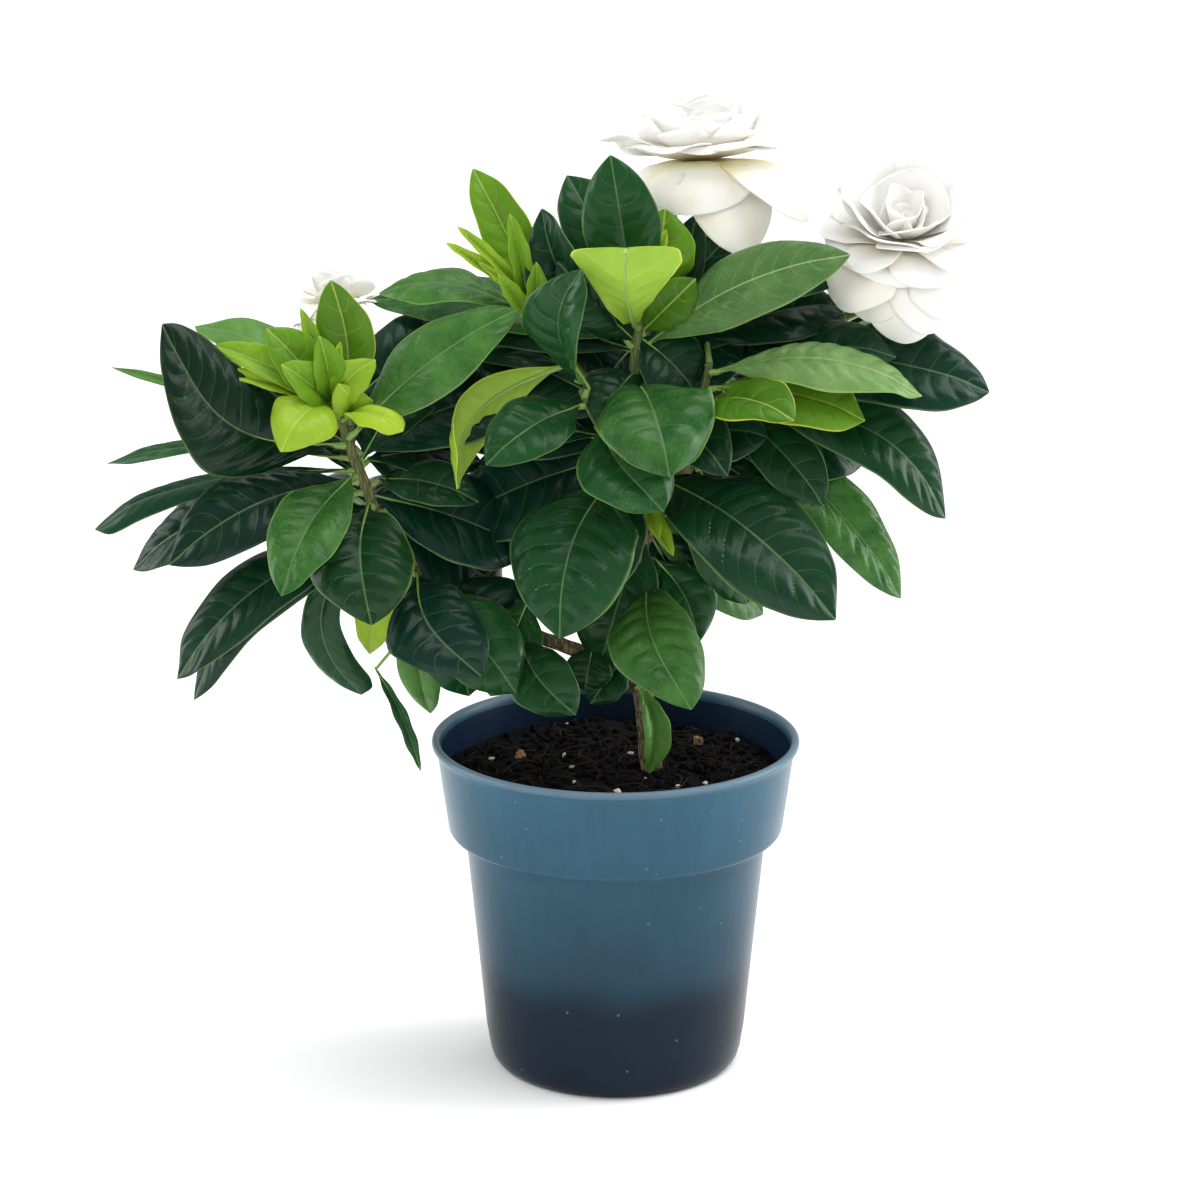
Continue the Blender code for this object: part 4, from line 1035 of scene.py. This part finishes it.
# Every whorl: the height of its foot above the throat (mm), then the values of its petals
WHORLS = {
    "top_flower_lower_petals": (0.5, [
        (-98, 17, 1, 27, -14, 40, -0.15, 2, 1),
        (-60, 18, -4, 27, -29, 32, -0.2, 2, 1),
        (-20, 18, 1, 33, -12, 36, -0.1, 2.5, 0.8),
        (-28, 22, 0, 41, -18, 35, -0.1, 2, 1),
        (50, 18, 0, 31, -16, 33, -0.2, 2.5, 0.6),
        (105, 18, 0, 31, -17, 34, -0.2, 2.5, 0.6),
        (160, 17, 1, 28, -12, 34, -0.2, 2.5, 0.8),
        (205, 16, 2, 26, -9, 32, -0.2, 2.5, 0.9),
    ]),
    "top_flower_middle_petals": (2.5, [
        (-82, 15, 7, 25, 8, 36, 0.2, 2.5, 0.5),
        (-38, 16, 6, 30, 9, 34, 0.2, 3, 0.4),
        (6, 17, 5, 34, 9, 35, 0.15, 3, 0.4),
        (48, 17, 5, 33, 11, 34, 0.2, 3, 0.3),
        (92, 17, 5, 32, 12, 34, 0.2, 3, 0.3),
        (140, 17, 5, 33, 14, 34, 0.2, 3, 0.3),
        (188, 17, 6, 34, 15, 33, 0.25, 2.5, 0.4),
        (232, 16, 7, 30, 10, 33, 0.2, 2.5, 0.5),
    ]),
    "top_flower_upper_petals": (4.5, [
        (-84, 15, 8, 19, 16, 34, 0.3, 2, 0.3),
        (-30, 15, 9, 19, 19, 33, 0.3, 2, 0.25),
        (22, 15, 9, 19, 22, 32, 0.3, 2, 0.2),
        (75, 14, 10, 18, 24, 32, 0.3, 2, 0.2),
        (128, 14, 10, 18, 25, 32, 0.3, 2, 0.2),
        (178, 15, 10, 19, 25, 32, 0.3, 2, 0.2),
        (226, 15, 9, 19, 20, 33, 0.3, 2, 0.25),
        (-105, 10, 9, 13, 17, 27, 0.4, 1.2, 0.3),
        (-45, 10, 9, 13, 19, 27, 0.4, 1.2, 0.3),
        (18, 10, 10, 13, 21, 27, 0.4, 1.2, 0.3),
        (80, 10, 10, 13, 22, 27, 0.4, 1.2, 0.3),
        (140, 10, 10, 13, 22, 27, 0.4, 1.2, 0.3),
        (200, 10, 9, 13, 20, 27, 0.4, 1.2, 0.3),
        (-20, 5, 9, 7, 18, 19, 0.5, 0.8, 0.4),
        (70, 5, 9, 7, 19, 19, 0.5, 0.8, 0.4),
        (160, 5, 9, 7, 19, 19, 0.5, 0.8, 0.4),
        (250, 5, 9, 7, 18, 19, 0.5, 0.8, 0.4),
        (100, 1.8, 7, 2.5, 15, 10, 0.6, 0.2, 0.7),
        (280, 1.8, 7, 2.5, 15, 10, 0.6, 0.2, 0.7),
    ]),
    "right_flower_lower_petals": (0.5, [
        (-84, 17, 0, 26, -24, 34, -0.15, 2.5, 0.6),
        (-140, 19, 2, 30, -14, 34, -0.15, 2.5, 1),
        (-118, 17, -1, 26, -17, 27, -0.2, 2, 0.9),
        (-38, 17, 1, 30, -16, 34, -0.2, 2.5, 0.4),
        (-62, 17, 0, 27, -20, 31, -0.15, 2.5, 0.5),
        (8, 17, 1, 28, -12, 31, -0.2, 2.5, 0.4),
        (60, 17, 1, 28, -12, 31, -0.2, 2.5, 0.4),
        (115, 17, 1, 28, -12, 31, -0.2, 2.5, 0.4),
        (168, 17, 1, 29, -10, 31, -0.2, 2.5, 0.7),
    ]),
    "right_flower_middle_petals": (2.5, [
        (-100, 15, 4, 25, 0, 35, 0.15, 3, 0.4),
        (-58, 15, 4, 27, 1, 33, 0.15, 3, 0.3),
        (-18, 16, 5, 31, 3, 35, 0.2, 3, 0.2),
        (28, 16, 5, 31, 8, 34, 0.2, 3, 0.2),
        (75, 15, 5, 28, 8, 32, 0.2, 3, 0.2),
        (122, 15, 5, 28, 8, 32, 0.2, 3, 0.2),
        (168, 15, 5, 28, 7, 32, 0.2, 3, 0.3),
        (214, 15, 5, 27, 4, 33, 0.2, 3, 0.4),
    ]),
    "right_flower_upper_petals": (4.5, [
        (-72, 13, 8, 20, 13, 31, 0.3, 2.5, 0.2),
        (-20, 13, 9, 22, 17, 30, 0.3, 2.5, 0.2),
        (30, 12, 11, 24, 24, 32, 0.3, 2.5, 0.15),
        (80, 12, 12, 21, 31, 33, 0.3, 2.5, 0.15),
        (130, 12, 12, 22, 30, 33, 0.3, 2.5, 0.15),
        (182, 12, 10, 21, 22, 30, 0.3, 2.5, 0.2),
        (234, 13, 8, 20, 15, 30, 0.3, 2.5, 0.25),
        (-62, 8, 9, 15, 16, 29, 0.4, 1.5, 0.2),
        (65, 8, 10, 14, 24, 29, 0.4, 1.5, 0.2),
        (190, 8, 10, 14, 20, 29, 0.4, 1.5, 0.25),
        (-60, 4, 9, 7.5, 18, 18, 0.5, 0.8, 0.3),
        (30, 4, 9, 7.5, 20, 18, 0.5, 0.8, 0.3),
        (120, 4, 9, 7.5, 21, 18, 0.5, 0.8, 0.3),
        (210, 4, 9, 7.5, 19, 18, 0.5, 0.8, 0.3),
        (100, 1.5, 7, 3, 16, 10, 0.6, 0.3, 0.5),
        (280, 1.5, 7, 3, 16, 10, 0.6, 0.3, 0.5),
    ]),
    "left_flower_lower_petals": (0.5, [
        (-95, 9, 2, 16, -3, 20, -0.1, 1, 0.4),
        (-35, 9, 3, 16, 3, 20, 0.1, 1, 0.4),
        (30, 9, 3, 16, 5, 20, 0.1, 1, 0.4),
        (90, 9, 3, 16, 5, 20, 0.1, 1, 0.4),
        (150, 9, 3, 17, 4, 20, 0.1, 1, 0.4),
        (196, 10, 2, 17, -5, 21, -0.1, 1, 0.4),
        (232, 10, 1, 16, -8, 21, -0.1, 1, 0.4),
    ]),
    "left_flower_upper_petals": (3, [
        (-60, 9, 6, 11, 13, 21, 0.35, 0.8, 0.3),
        (0, 9, 6, 12, 13, 21, 0.35, 0.8, 0.3),
        (60, 9, 6, 12, 14, 21, 0.35, 0.8, 0.3),
        (120, 9, 6, 12, 15, 21, 0.35, 0.8, 0.3),
        (180, 9, 6, 12, 15, 21, 0.35, 0.8, 0.3),
        (240, 9, 6, 11, 14, 21, 0.35, 0.8, 0.3),
        (-10, 4, 6, 5, 13, 12, 0.5, 0.4, 0.4),
        (110, 4, 6, 5, 13, 12, 0.5, 0.4, 0.4),
        (230, 4, 6, 5, 13, 12, 0.5, 0.4, 0.4),
    ]),
}


# The calyx and its tube: how high (share of their length) and how wide (share of the widest
# place) they are from the throat down, and the lobes around them
CALYX_HEIGHTS = (0.02, -0.15, -0.3, -0.45, -0.58, -0.75, -0.9, -1.0)
CALYX_RADII = (0.95, 0.5, 0.5, 0.8, 1.0, 0.98, 0.75, 0.5)
LOBES = 6
LOBE_RADIUS = 0.75 * MM


def make_calyx(flower, axis):
    """The flower's tube and its ribbed green calyx with six narrow lobes."""
    points = node_points(f"{flower}_calyx")
    reach = (points - axis.throat) @ axis.up
    length = -reach.min()
    widest = np.linalg.norm(points - axis.throat - np.outer(reach, axis.up), axis=1).max()
    angles = np.linspace(0, math.tau, 48, endpoint=False)
    at = np.linspace(0, 1, 30)
    knots = np.linspace(0, 1, len(CALYX_HEIGHTS))
    height = curve_through(knots, np.array(CALYX_HEIGHTS) * length, at)
    radius = curve_through(knots, np.array(CALYX_RADII) * widest, at)
    ribs = 1 + 0.09 * np.cos(angles * LOBES)[None] * smooth_step(0.4, 0.6, at)[:, None]
    ring = axis.right * np.cos(angles)[:, None] + axis.back * np.sin(angles)[:, None]
    out = (radius[:, None] * ribs)[..., None]
    grid = axis.throat + axis.up * height[:, None, None] + ring[None] * out
    count = len(angles)
    last = (len(at) - 1) * count
    faces = band_faces(0, last, count)
    faces += [tuple(range(count)), tuple(range(last + count - 1, last - 1, -1))]
    sheets = [Sheet(grid.reshape(-1, 3), faces, [0] * len(faces), {})]
    for i in range(LOBES):
        angle = math.tau * i / LOBES
        way = axis.right * math.cos(angle) + axis.back * math.sin(angle)
        along = np.linspace(0, 1, 9)[:, None]
        path = axis.throat - axis.up * length * (0.62 - 0.42 * along)
        path = path + way * (widest * 0.95 + 1.4 * MM * along**2)
        sheets.append(tube(path, LOBE_RADIUS * (1.05 - along[:, 0]), 0, (), 6, 0.5))
    add_piece(f"{flower}_green_calyx", sheets, [CALYX_SKIN], [f"{flower}_calyx"])


def make_flowers():
    """The three flowers: each a calyx and its whorls of petals."""
    for flower in ("top_flower", "right_flower", "left_flower"):
        axis = flower_axis(flower)
        make_calyx(flower, axis)
        for name, (foot, petals) in WHORLS.items():
            if name.startswith(flower):
                sheets = [
                    petal_sheet(f"{name}_{i}", axis, Petal(*values), foot)
                    for i, values in enumerate(petals)
                ]
                add_piece(f"{name}_white", sheets, [PETAL], [name])


# ---------------------------------------------------------------- stems

# The size of the cells in which the stems are made even before they are rounded
STEM_VOXEL = 0.55 * MM
# Bark relief, as cells per metre: ridges 2.4 mm apart that run up the stem, and swellings of 9 mm
BARK_RIDGES = np.array((420, 420, 130))
BARK_SWELLINGS = 110
# The heights between which old cracked bark gives way to smooth young bark (m)
OLD_BARK, YOUNG_BARK = 0.15, 0.26


def make_stems():
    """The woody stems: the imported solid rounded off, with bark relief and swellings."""
    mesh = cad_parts["stems"].data.copy()
    mesh.name = "woody_stems"
    piece = put_in_scene("woody_stems", mesh)
    remesh = piece.modifiers.new("even", "REMESH")
    remesh.mode = "VOXEL"
    remesh.voxel_size = STEM_VOXEL
    smooth = piece.modifiers.new("round", "SMOOTH")
    smooth.iterations = 6
    smooth.factor = 0.6
    made = apply_modifiers(piece)
    count = len(made.vertices)
    points, normals = np.empty(count * 3), np.empty(count * 3)
    made.vertices.foreach_get("co", points)
    made.vertex_normals.foreach_get("vector", normals)
    points, normals = points.reshape(-1, 3), normals.reshape(-1, 3)
    ridges = np.array([noise.noise(Vector(point * BARK_RIDGES)) for point in points])
    swellings = np.array([noise.noise(Vector(point * BARK_SWELLINGS)) for point in points])
    relief = ridges * 0.22 + swellings * 0.3
    age = 1 - smooth_step(OLD_BARK, YOUNG_BARK, points[:, 2])
    points += normals * (relief * (0.5 + 0.9 * age) + 0.12)[:, None] * MM
    made.vertices.foreach_set("co", points.ravel())
    made.update()
    made.shade_smooth()
    made.materials.clear()
    made.materials.append(BARK)
    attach(piece, "root")
    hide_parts("stems")


# ---------------------------------------------------------------- pot and soil

# Outer and inner profile of the pot (radius, height in mm), from the middle of the floor inside,
# up the wall, over the rim and down the outside
POT_PROFILE = [
    (0, 2.0), (20, 2.0), (36, 2.0), (39.6, 2.2), (41.6, 3.6), (44.4, 12), (48.2, 50), (51.7, 84.6),
    (52.0, 86.6), (53.0, 87.4), (56.4, 87.8), (57.4, 88.6), (57.9, 90.6), (59.8, 104),
    (61.6, 116.6), (62.0, 118.8), (62.5, 119.7), (63.3, 120.0), (64.2, 119.9), (64.8, 119.3),
    (65.0, 118.5), (64.8, 117.8), (64.3, 117.3), (63.6, 116.9), (63.15, 116.2), (62.9, 114.4),
    (61.2, 102), (59.3, 88.4), (59.0, 87.2), (58.4, 86.4), (57.4, 86.0), (54.4, 85.6), (53.7, 85.2),
    (53.3, 84.3), (52.9, 81), (49.8, 50), (46.2, 13.6), (45.8, 11.2), (44.9, 5.6), (44.0, 2.6),
    (42.6, 0.7), (41.2, 0.0), (38.4, 0.0), (37.6, 0.5), (20, 0.5), (0, 0.5),
]
# Steps around the pot, and the rim's radius in the profile
POT_STEPS = 160
POT_RADIUS = 65 * MM
# Below this height the wall's inner side takes the darker inside colours
DARK_INSIDE_TO = 116.8 * MM
# Six drain holes in a ring, the first at 30 degrees
HOLES = 6
HOLE_RADIUS = 4.5 * MM
HOLE_RING = 27 * MM
DRILL_LENGTH = 12 * MM


def make_pot():
    """The pot, turned from its profile, with six drain holes cut through its floor."""
    low, high = (np.array(corner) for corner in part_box("pot"))
    fit = (high[0] - low[0]) / 2 / POT_RADIUS
    bm = bmesh.new()
    rings = []
    for radius, height in POT_PROFILE:
        if radius == 0:
            rings.append([bm.verts.new((0, 0, low[2] + height * MM))] * POT_STEPS)
            continue
        reach, level = radius * fit * MM, low[2] + height * MM
        rings.append([
            bm.verts.new((reach * math.cos(angle), reach * math.sin(angle), level))
            for angle in np.linspace(0, math.tau, POT_STEPS, endpoint=False)
        ])
    for upper, lower in zip(rings, rings[1:]):
        for j in range(POT_STEPS):
            k = (j + 1) % POT_STEPS
            # at the axis two corners are one
            bm.faces.new(list(dict.fromkeys((upper[j], upper[k], lower[k], lower[j]))))
    bmesh.ops.recalc_face_normals(bm, faces=bm.faces)
    mesh = bpy.data.meshes.new("nursery_pot")
    bm.to_mesh(mesh)
    bm.free()
    piece = put_in_scene("nursery_pot", mesh)
    drills = []
    for i in range(HOLES):
        bm = bmesh.new()
        bmesh.ops.create_cone(
            bm, cap_ends=True, segments=40, radius1=HOLE_RADIUS, radius2=HOLE_RADIUS,
            depth=DRILL_LENGTH,
        )
        drill_mesh = bpy.data.meshes.new(f"drill_{i}")
        bm.to_mesh(drill_mesh)
        bm.free()
        drill = put_in_scene(f"drill_{i}", drill_mesh)
        angle = math.radians(30 + 360 / HOLES * i)
        drill.location = (HOLE_RING * math.cos(angle), HOLE_RING * math.sin(angle), 1 * MM)
        cut = piece.modifiers.new(drill.name, "BOOLEAN")
        cut.object = drill
        cut.operation = "DIFFERENCE"
        cut.solver = "EXACT"
        drills.append(drill)
    made = apply_modifiers(piece)
    for drill in drills:
        bpy.data.objects.remove(drill)
    made.materials.clear()
    made.materials.append(POT_PLASTIC)
    made.materials.append(POT_INSIDE)
    for face in made.polygons:
        inward = face.normal.x * face.center.x + face.normal.y * face.center.y < 0
        face.material_index = int(inward and face.center.z < DARK_INSIDE_TO)
    made.shade_smooth()
    made.set_sharp_from_angle(angle=math.radians(50))
    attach(piece, "root")
    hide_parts("pot")


# How far the soil reaches, its level, and how finely its surface is drawn
SOIL_RADIUS = 59.9 * MM
SOIL_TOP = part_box("soil")[1][2]
SOIL_RINGS, SOIL_STEPS = 110, 360
# The plug below the surface (radius, height in mm), which follows the inside of the pot
PLUG_PROFILE = (
    (59.6, 103), (57.3, 89.2), (56.2, 88.2), (51.4, 87.4), (44.1, 12.3), (41.2, 3.9), (39, 2.3)
)
# Where the trunk stands, to the right of the pot's axis (m)
TRUNK_X = 0.013
TRUNK_CLEAR = 0.006
# Loose bits lie within this radius (mm), and fibres within the next
BITS_TO = 57
FIBRES_TO = 58 * MM


def soil_height(x, y):
    """The height of the soil's crumbly surface."""
    radius = math.hypot(x, y)
    spot = Vector((x, y, 0.02))
    rise = noise.noise(spot * 45) * 1.7 + noise.noise(spot * 160) * 1.1
    rise += abs(noise.noise(spot * 420)) * 0.8 + noise.noise(spot * 900) * 0.3
    heap = 1.2 * math.exp(-(math.hypot(x - TRUNK_X, y) / 0.018) ** 2)
    edge = -1.2 * max(0.0, (radius - 0.052) / 0.008)
    return SOIL_TOP + (rise + heap + edge - 1.4) * MM


def make_soil():
    """The compost: a crumbly top, and below it a plug that fills the pot."""
    angles = [math.tau * j / SOIL_STEPS for j in range(SOIL_STEPS)]
    points = [(0, 0, soil_height(0, 0))]
    for i in range(1, SOIL_RINGS + 1):
        radius = SOIL_RADIUS * i / SOIL_RINGS
        spots = [(radius * math.cos(angle), radius * math.sin(angle)) for angle in angles]
        points += [(x, y, soil_height(x, y)) for x, y in spots]
    for radius, height in PLUG_PROFILE:
        radius, height = radius * MM, height * MM
        points += [(radius * math.cos(angle), radius * math.sin(angle), height) for angle in angles]
    points.append((0, 0, PLUG_PROFILE[-1][1] * MM))
    around = [(j, (j + 1) % SOIL_STEPS) for j in range(SOIL_STEPS)]
    last = len(points) - 1 - SOIL_STEPS
    faces = [(0, 1 + j, 1 + k) for j, k in around] + band_faces(1, last, SOIL_STEPS)
    faces += [(len(points) - 1, last + k, last + j) for j, k in around]
    body = Sheet(np.array(points), faces, [0] * len(faces), {})
    add_piece("peat_compost", [body], [PEAT], ["soil"])


def lump(centre, size, draw, rounds=1):
    """One irregular crumb."""
    bm = bmesh.new()
    bmesh.ops.create_icosphere(bm, subdivisions=rounds + 1, radius=1)
    points = np.array([v.co[:] for v in bm.verts])
    faces = [tuple(v.index for v in f.verts) for f in bm.faces]
    bm.free()
    shift = Vector(draw.uniform(0, 50, 3))
    swell = np.array([1 + 0.5 * noise.noise(Vector(p) * 1.3 + shift) for p in points])
    stretch = draw.uniform(0.6, 1.25, 3)
    points = points * swell[:, None] * stretch * size + centre
    return Sheet(points, faces, [0] * len(faces), {})


def scattered(draw):
    """A random place on the soil, off the trunk (m)."""
    while True:
        x, y = draw.uniform(-BITS_TO, BITS_TO, 2) * MM
        if math.hypot(x, y) < BITS_TO * MM and math.hypot(x - TRUNK_X, y) > TRUNK_CLEAR:
            return x, y


def scattered_lumps(draw, count, smallest, largest, power, height):
    """Lumps strewn over the soil: how many, their smallest and largest size (mm), a power that
    spreads their sizes, and how high their middle sits, as a share of their size."""
    lumps = []
    for _ in range(count):
        x, y = scattered(draw)
        size = draw.uniform(smallest, largest) ** power * MM
        lumps.append(lump((x, y, soil_height(x, y) + size * height), size, draw))
    return lumps


# The bark chips: where they lie and their size (mm)
CHIPS = ((-8, -42, 2.6), (-5, -46, 1.4), (22, -30, 1.3), (-34, 12, 2.0), (30, 28, 1.8))
FIBRE_TAPER = (1, 1, 1, 1, 1, 0.9, 0.8, 0.6, 0.4)


def make_soil_bits():
    """Crumbs of peat, grains of perlite, chips of bark and fibres, loose on the soil."""
    draw = np.random.default_rng(7)
    add_piece("peat_crumbs", scattered_lumps(draw, 900, 0.4, 1.5, 1.3, 0.3), [PEAT])
    add_piece("perlite_grains", scattered_lumps(draw, 26, 0.5, 1.2, 1, 0.5), [PERLITE])
    chips = [
        lump((x * MM, y * MM, soil_height(x * MM, y * MM) + 1.2 * MM), size * MM, draw, 2)
        for x, y, size in CHIPS
    ]
    add_piece("bark_chips", chips, [CHIP])
    fibres = []
    for _ in range(150):
        x, y = scattered(draw)
        turn, bend = draw.uniform(0, math.tau), draw.uniform(-1.6, 1.6)
        length = draw.uniform(5, 22) * MM
        arch = draw.uniform(0.3, 2.2) * MM
        path = []
        for u in np.linspace(0, 1, len(FIBRE_TAPER)):
            heading = turn + bend * u
            px, py = x + length * u * math.cos(heading), y + length * u * math.sin(heading)
            reach = math.hypot(px, py)
            if reach > FIBRES_TO:
                px, py = px * FIBRES_TO / reach, py * FIBRES_TO / reach
            path.append((px, py, soil_height(px, py) + 0.2 * MM + arch * math.sin(math.pi * u)))
        radius = draw.uniform(0.1, 0.26) * MM
        fibres.append(tube(path, radius * np.array(FIBRE_TAPER), 0, (), 5))
    add_piece("peat_fibres", fibres, [FIBRE])


# ---------------------------------------------------------------- studio


FLOOR_HALF = 22
# The floor lies just under the pot, so that the two don't share a plane (m)
FLOOR_LEVEL = -0.0004
# What the soft lights are turned to: the middle of the plant (m)
LIT_PLACE = (0, 0, 0.18)
# How strongly the white room lights the plant
ROOM_LIGHT = 0.52
CAMERA_PLACE = (-0.0055, -1.5, 0.6)
CAMERA_TILT = math.radians(74)
# The focal length and the width of the sensor (mm)
LENS, SENSOR = 133.8, 36
# Past the floor's far corners (m)
CLIP_END = 100


def make_floor():
    """A large plain board, softly uneven so that it isn't dead flat in its tone."""
    mesh = bpy.data.meshes.new("studio_floor")
    corners = [(x * FLOOR_HALF, y * FLOOR_HALF, 0) for x, y in ((-1, -1), (1, -1), (1, 1), (-1, 1))]
    mesh.from_pydata(corners, [], [(0, 1, 2, 3)])
    mesh.materials.append(FLOOR)
    floor = put_in_scene("studio_floor", mesh)
    floor.location.z = FLOOR_LEVEL


def add_light(name, place, size, power):
    """A soft light: a white rectangle (m) that faces the plant, with its power in watts."""
    lamp = bpy.data.lights.new(name, "AREA")
    lamp.shape = "RECTANGLE"
    lamp.size, lamp.size_y = size
    lamp.energy = power
    light = put_in_scene(name, lamp)
    light.location = place
    way = Vector(LIT_PLACE) - Vector(place)
    light.rotation_euler = way.to_track_quat("-Z", "Y").to_euler()
    return light


def make_studio():
    """The floor, the white room, four lights and the camera."""
    make_floor()
    scene = bpy.context.scene
    scene.view_settings.view_transform = "Standard"
    world = bpy.data.worlds.new("studio")
    world.use_nodes = True
    # the room shows as white as the lit board, and lights the plant at about half of that
    direct = add_node(world.node_tree, "LightPath", {}, {}).outputs["Is Camera Ray"]
    strength = add_node(world.node_tree, "MapRange", {}, {0: direct, 3: ROOM_LIGHT, 4: 1.0})
    background = world.node_tree.nodes["Background"]
    background.inputs["Color"].default_value = linear("#ffffff")
    world.node_tree.links.new(strength.outputs[0], background.inputs["Strength"])
    scene.world = world
    add_light("left_softbox", (-1.2, 0.2, 0.5), (0.7, 1.1), 9)
    add_light("right_softbox", (1.2, 0.2, 0.5), (0.7, 1.1), 13)
    # the fill only lifts the shadows: it makes no mirror image in the wax of the leaves
    fill = add_light("front_fill", (-0.5, -1.5, 1.3), (1.2, 1.0), 11)
    fill.visible_glossy = False
    sky = bpy.data.lights.new("skylight", "SUN")
    sky.energy = 2.2
    sky.angle = math.radians(60)
    skylight = put_in_scene("skylight", sky)
    skylight.rotation_euler = (math.radians(-4), math.radians(20), 0)
    optics = bpy.data.cameras.new("camera")
    optics.lens = LENS
    optics.sensor_width = SENSOR
    optics.clip_end = CLIP_END
    camera = put_in_scene("camera", optics)
    camera.location = CAMERA_PLACE
    camera.rotation_euler = (CAMERA_TILT, 0, 0)
    scene.camera = camera


make_studio()
make_pot()
make_soil()
make_soil_bits()
make_stems()
make_leaves()
make_extra_leaves()
make_flowers()
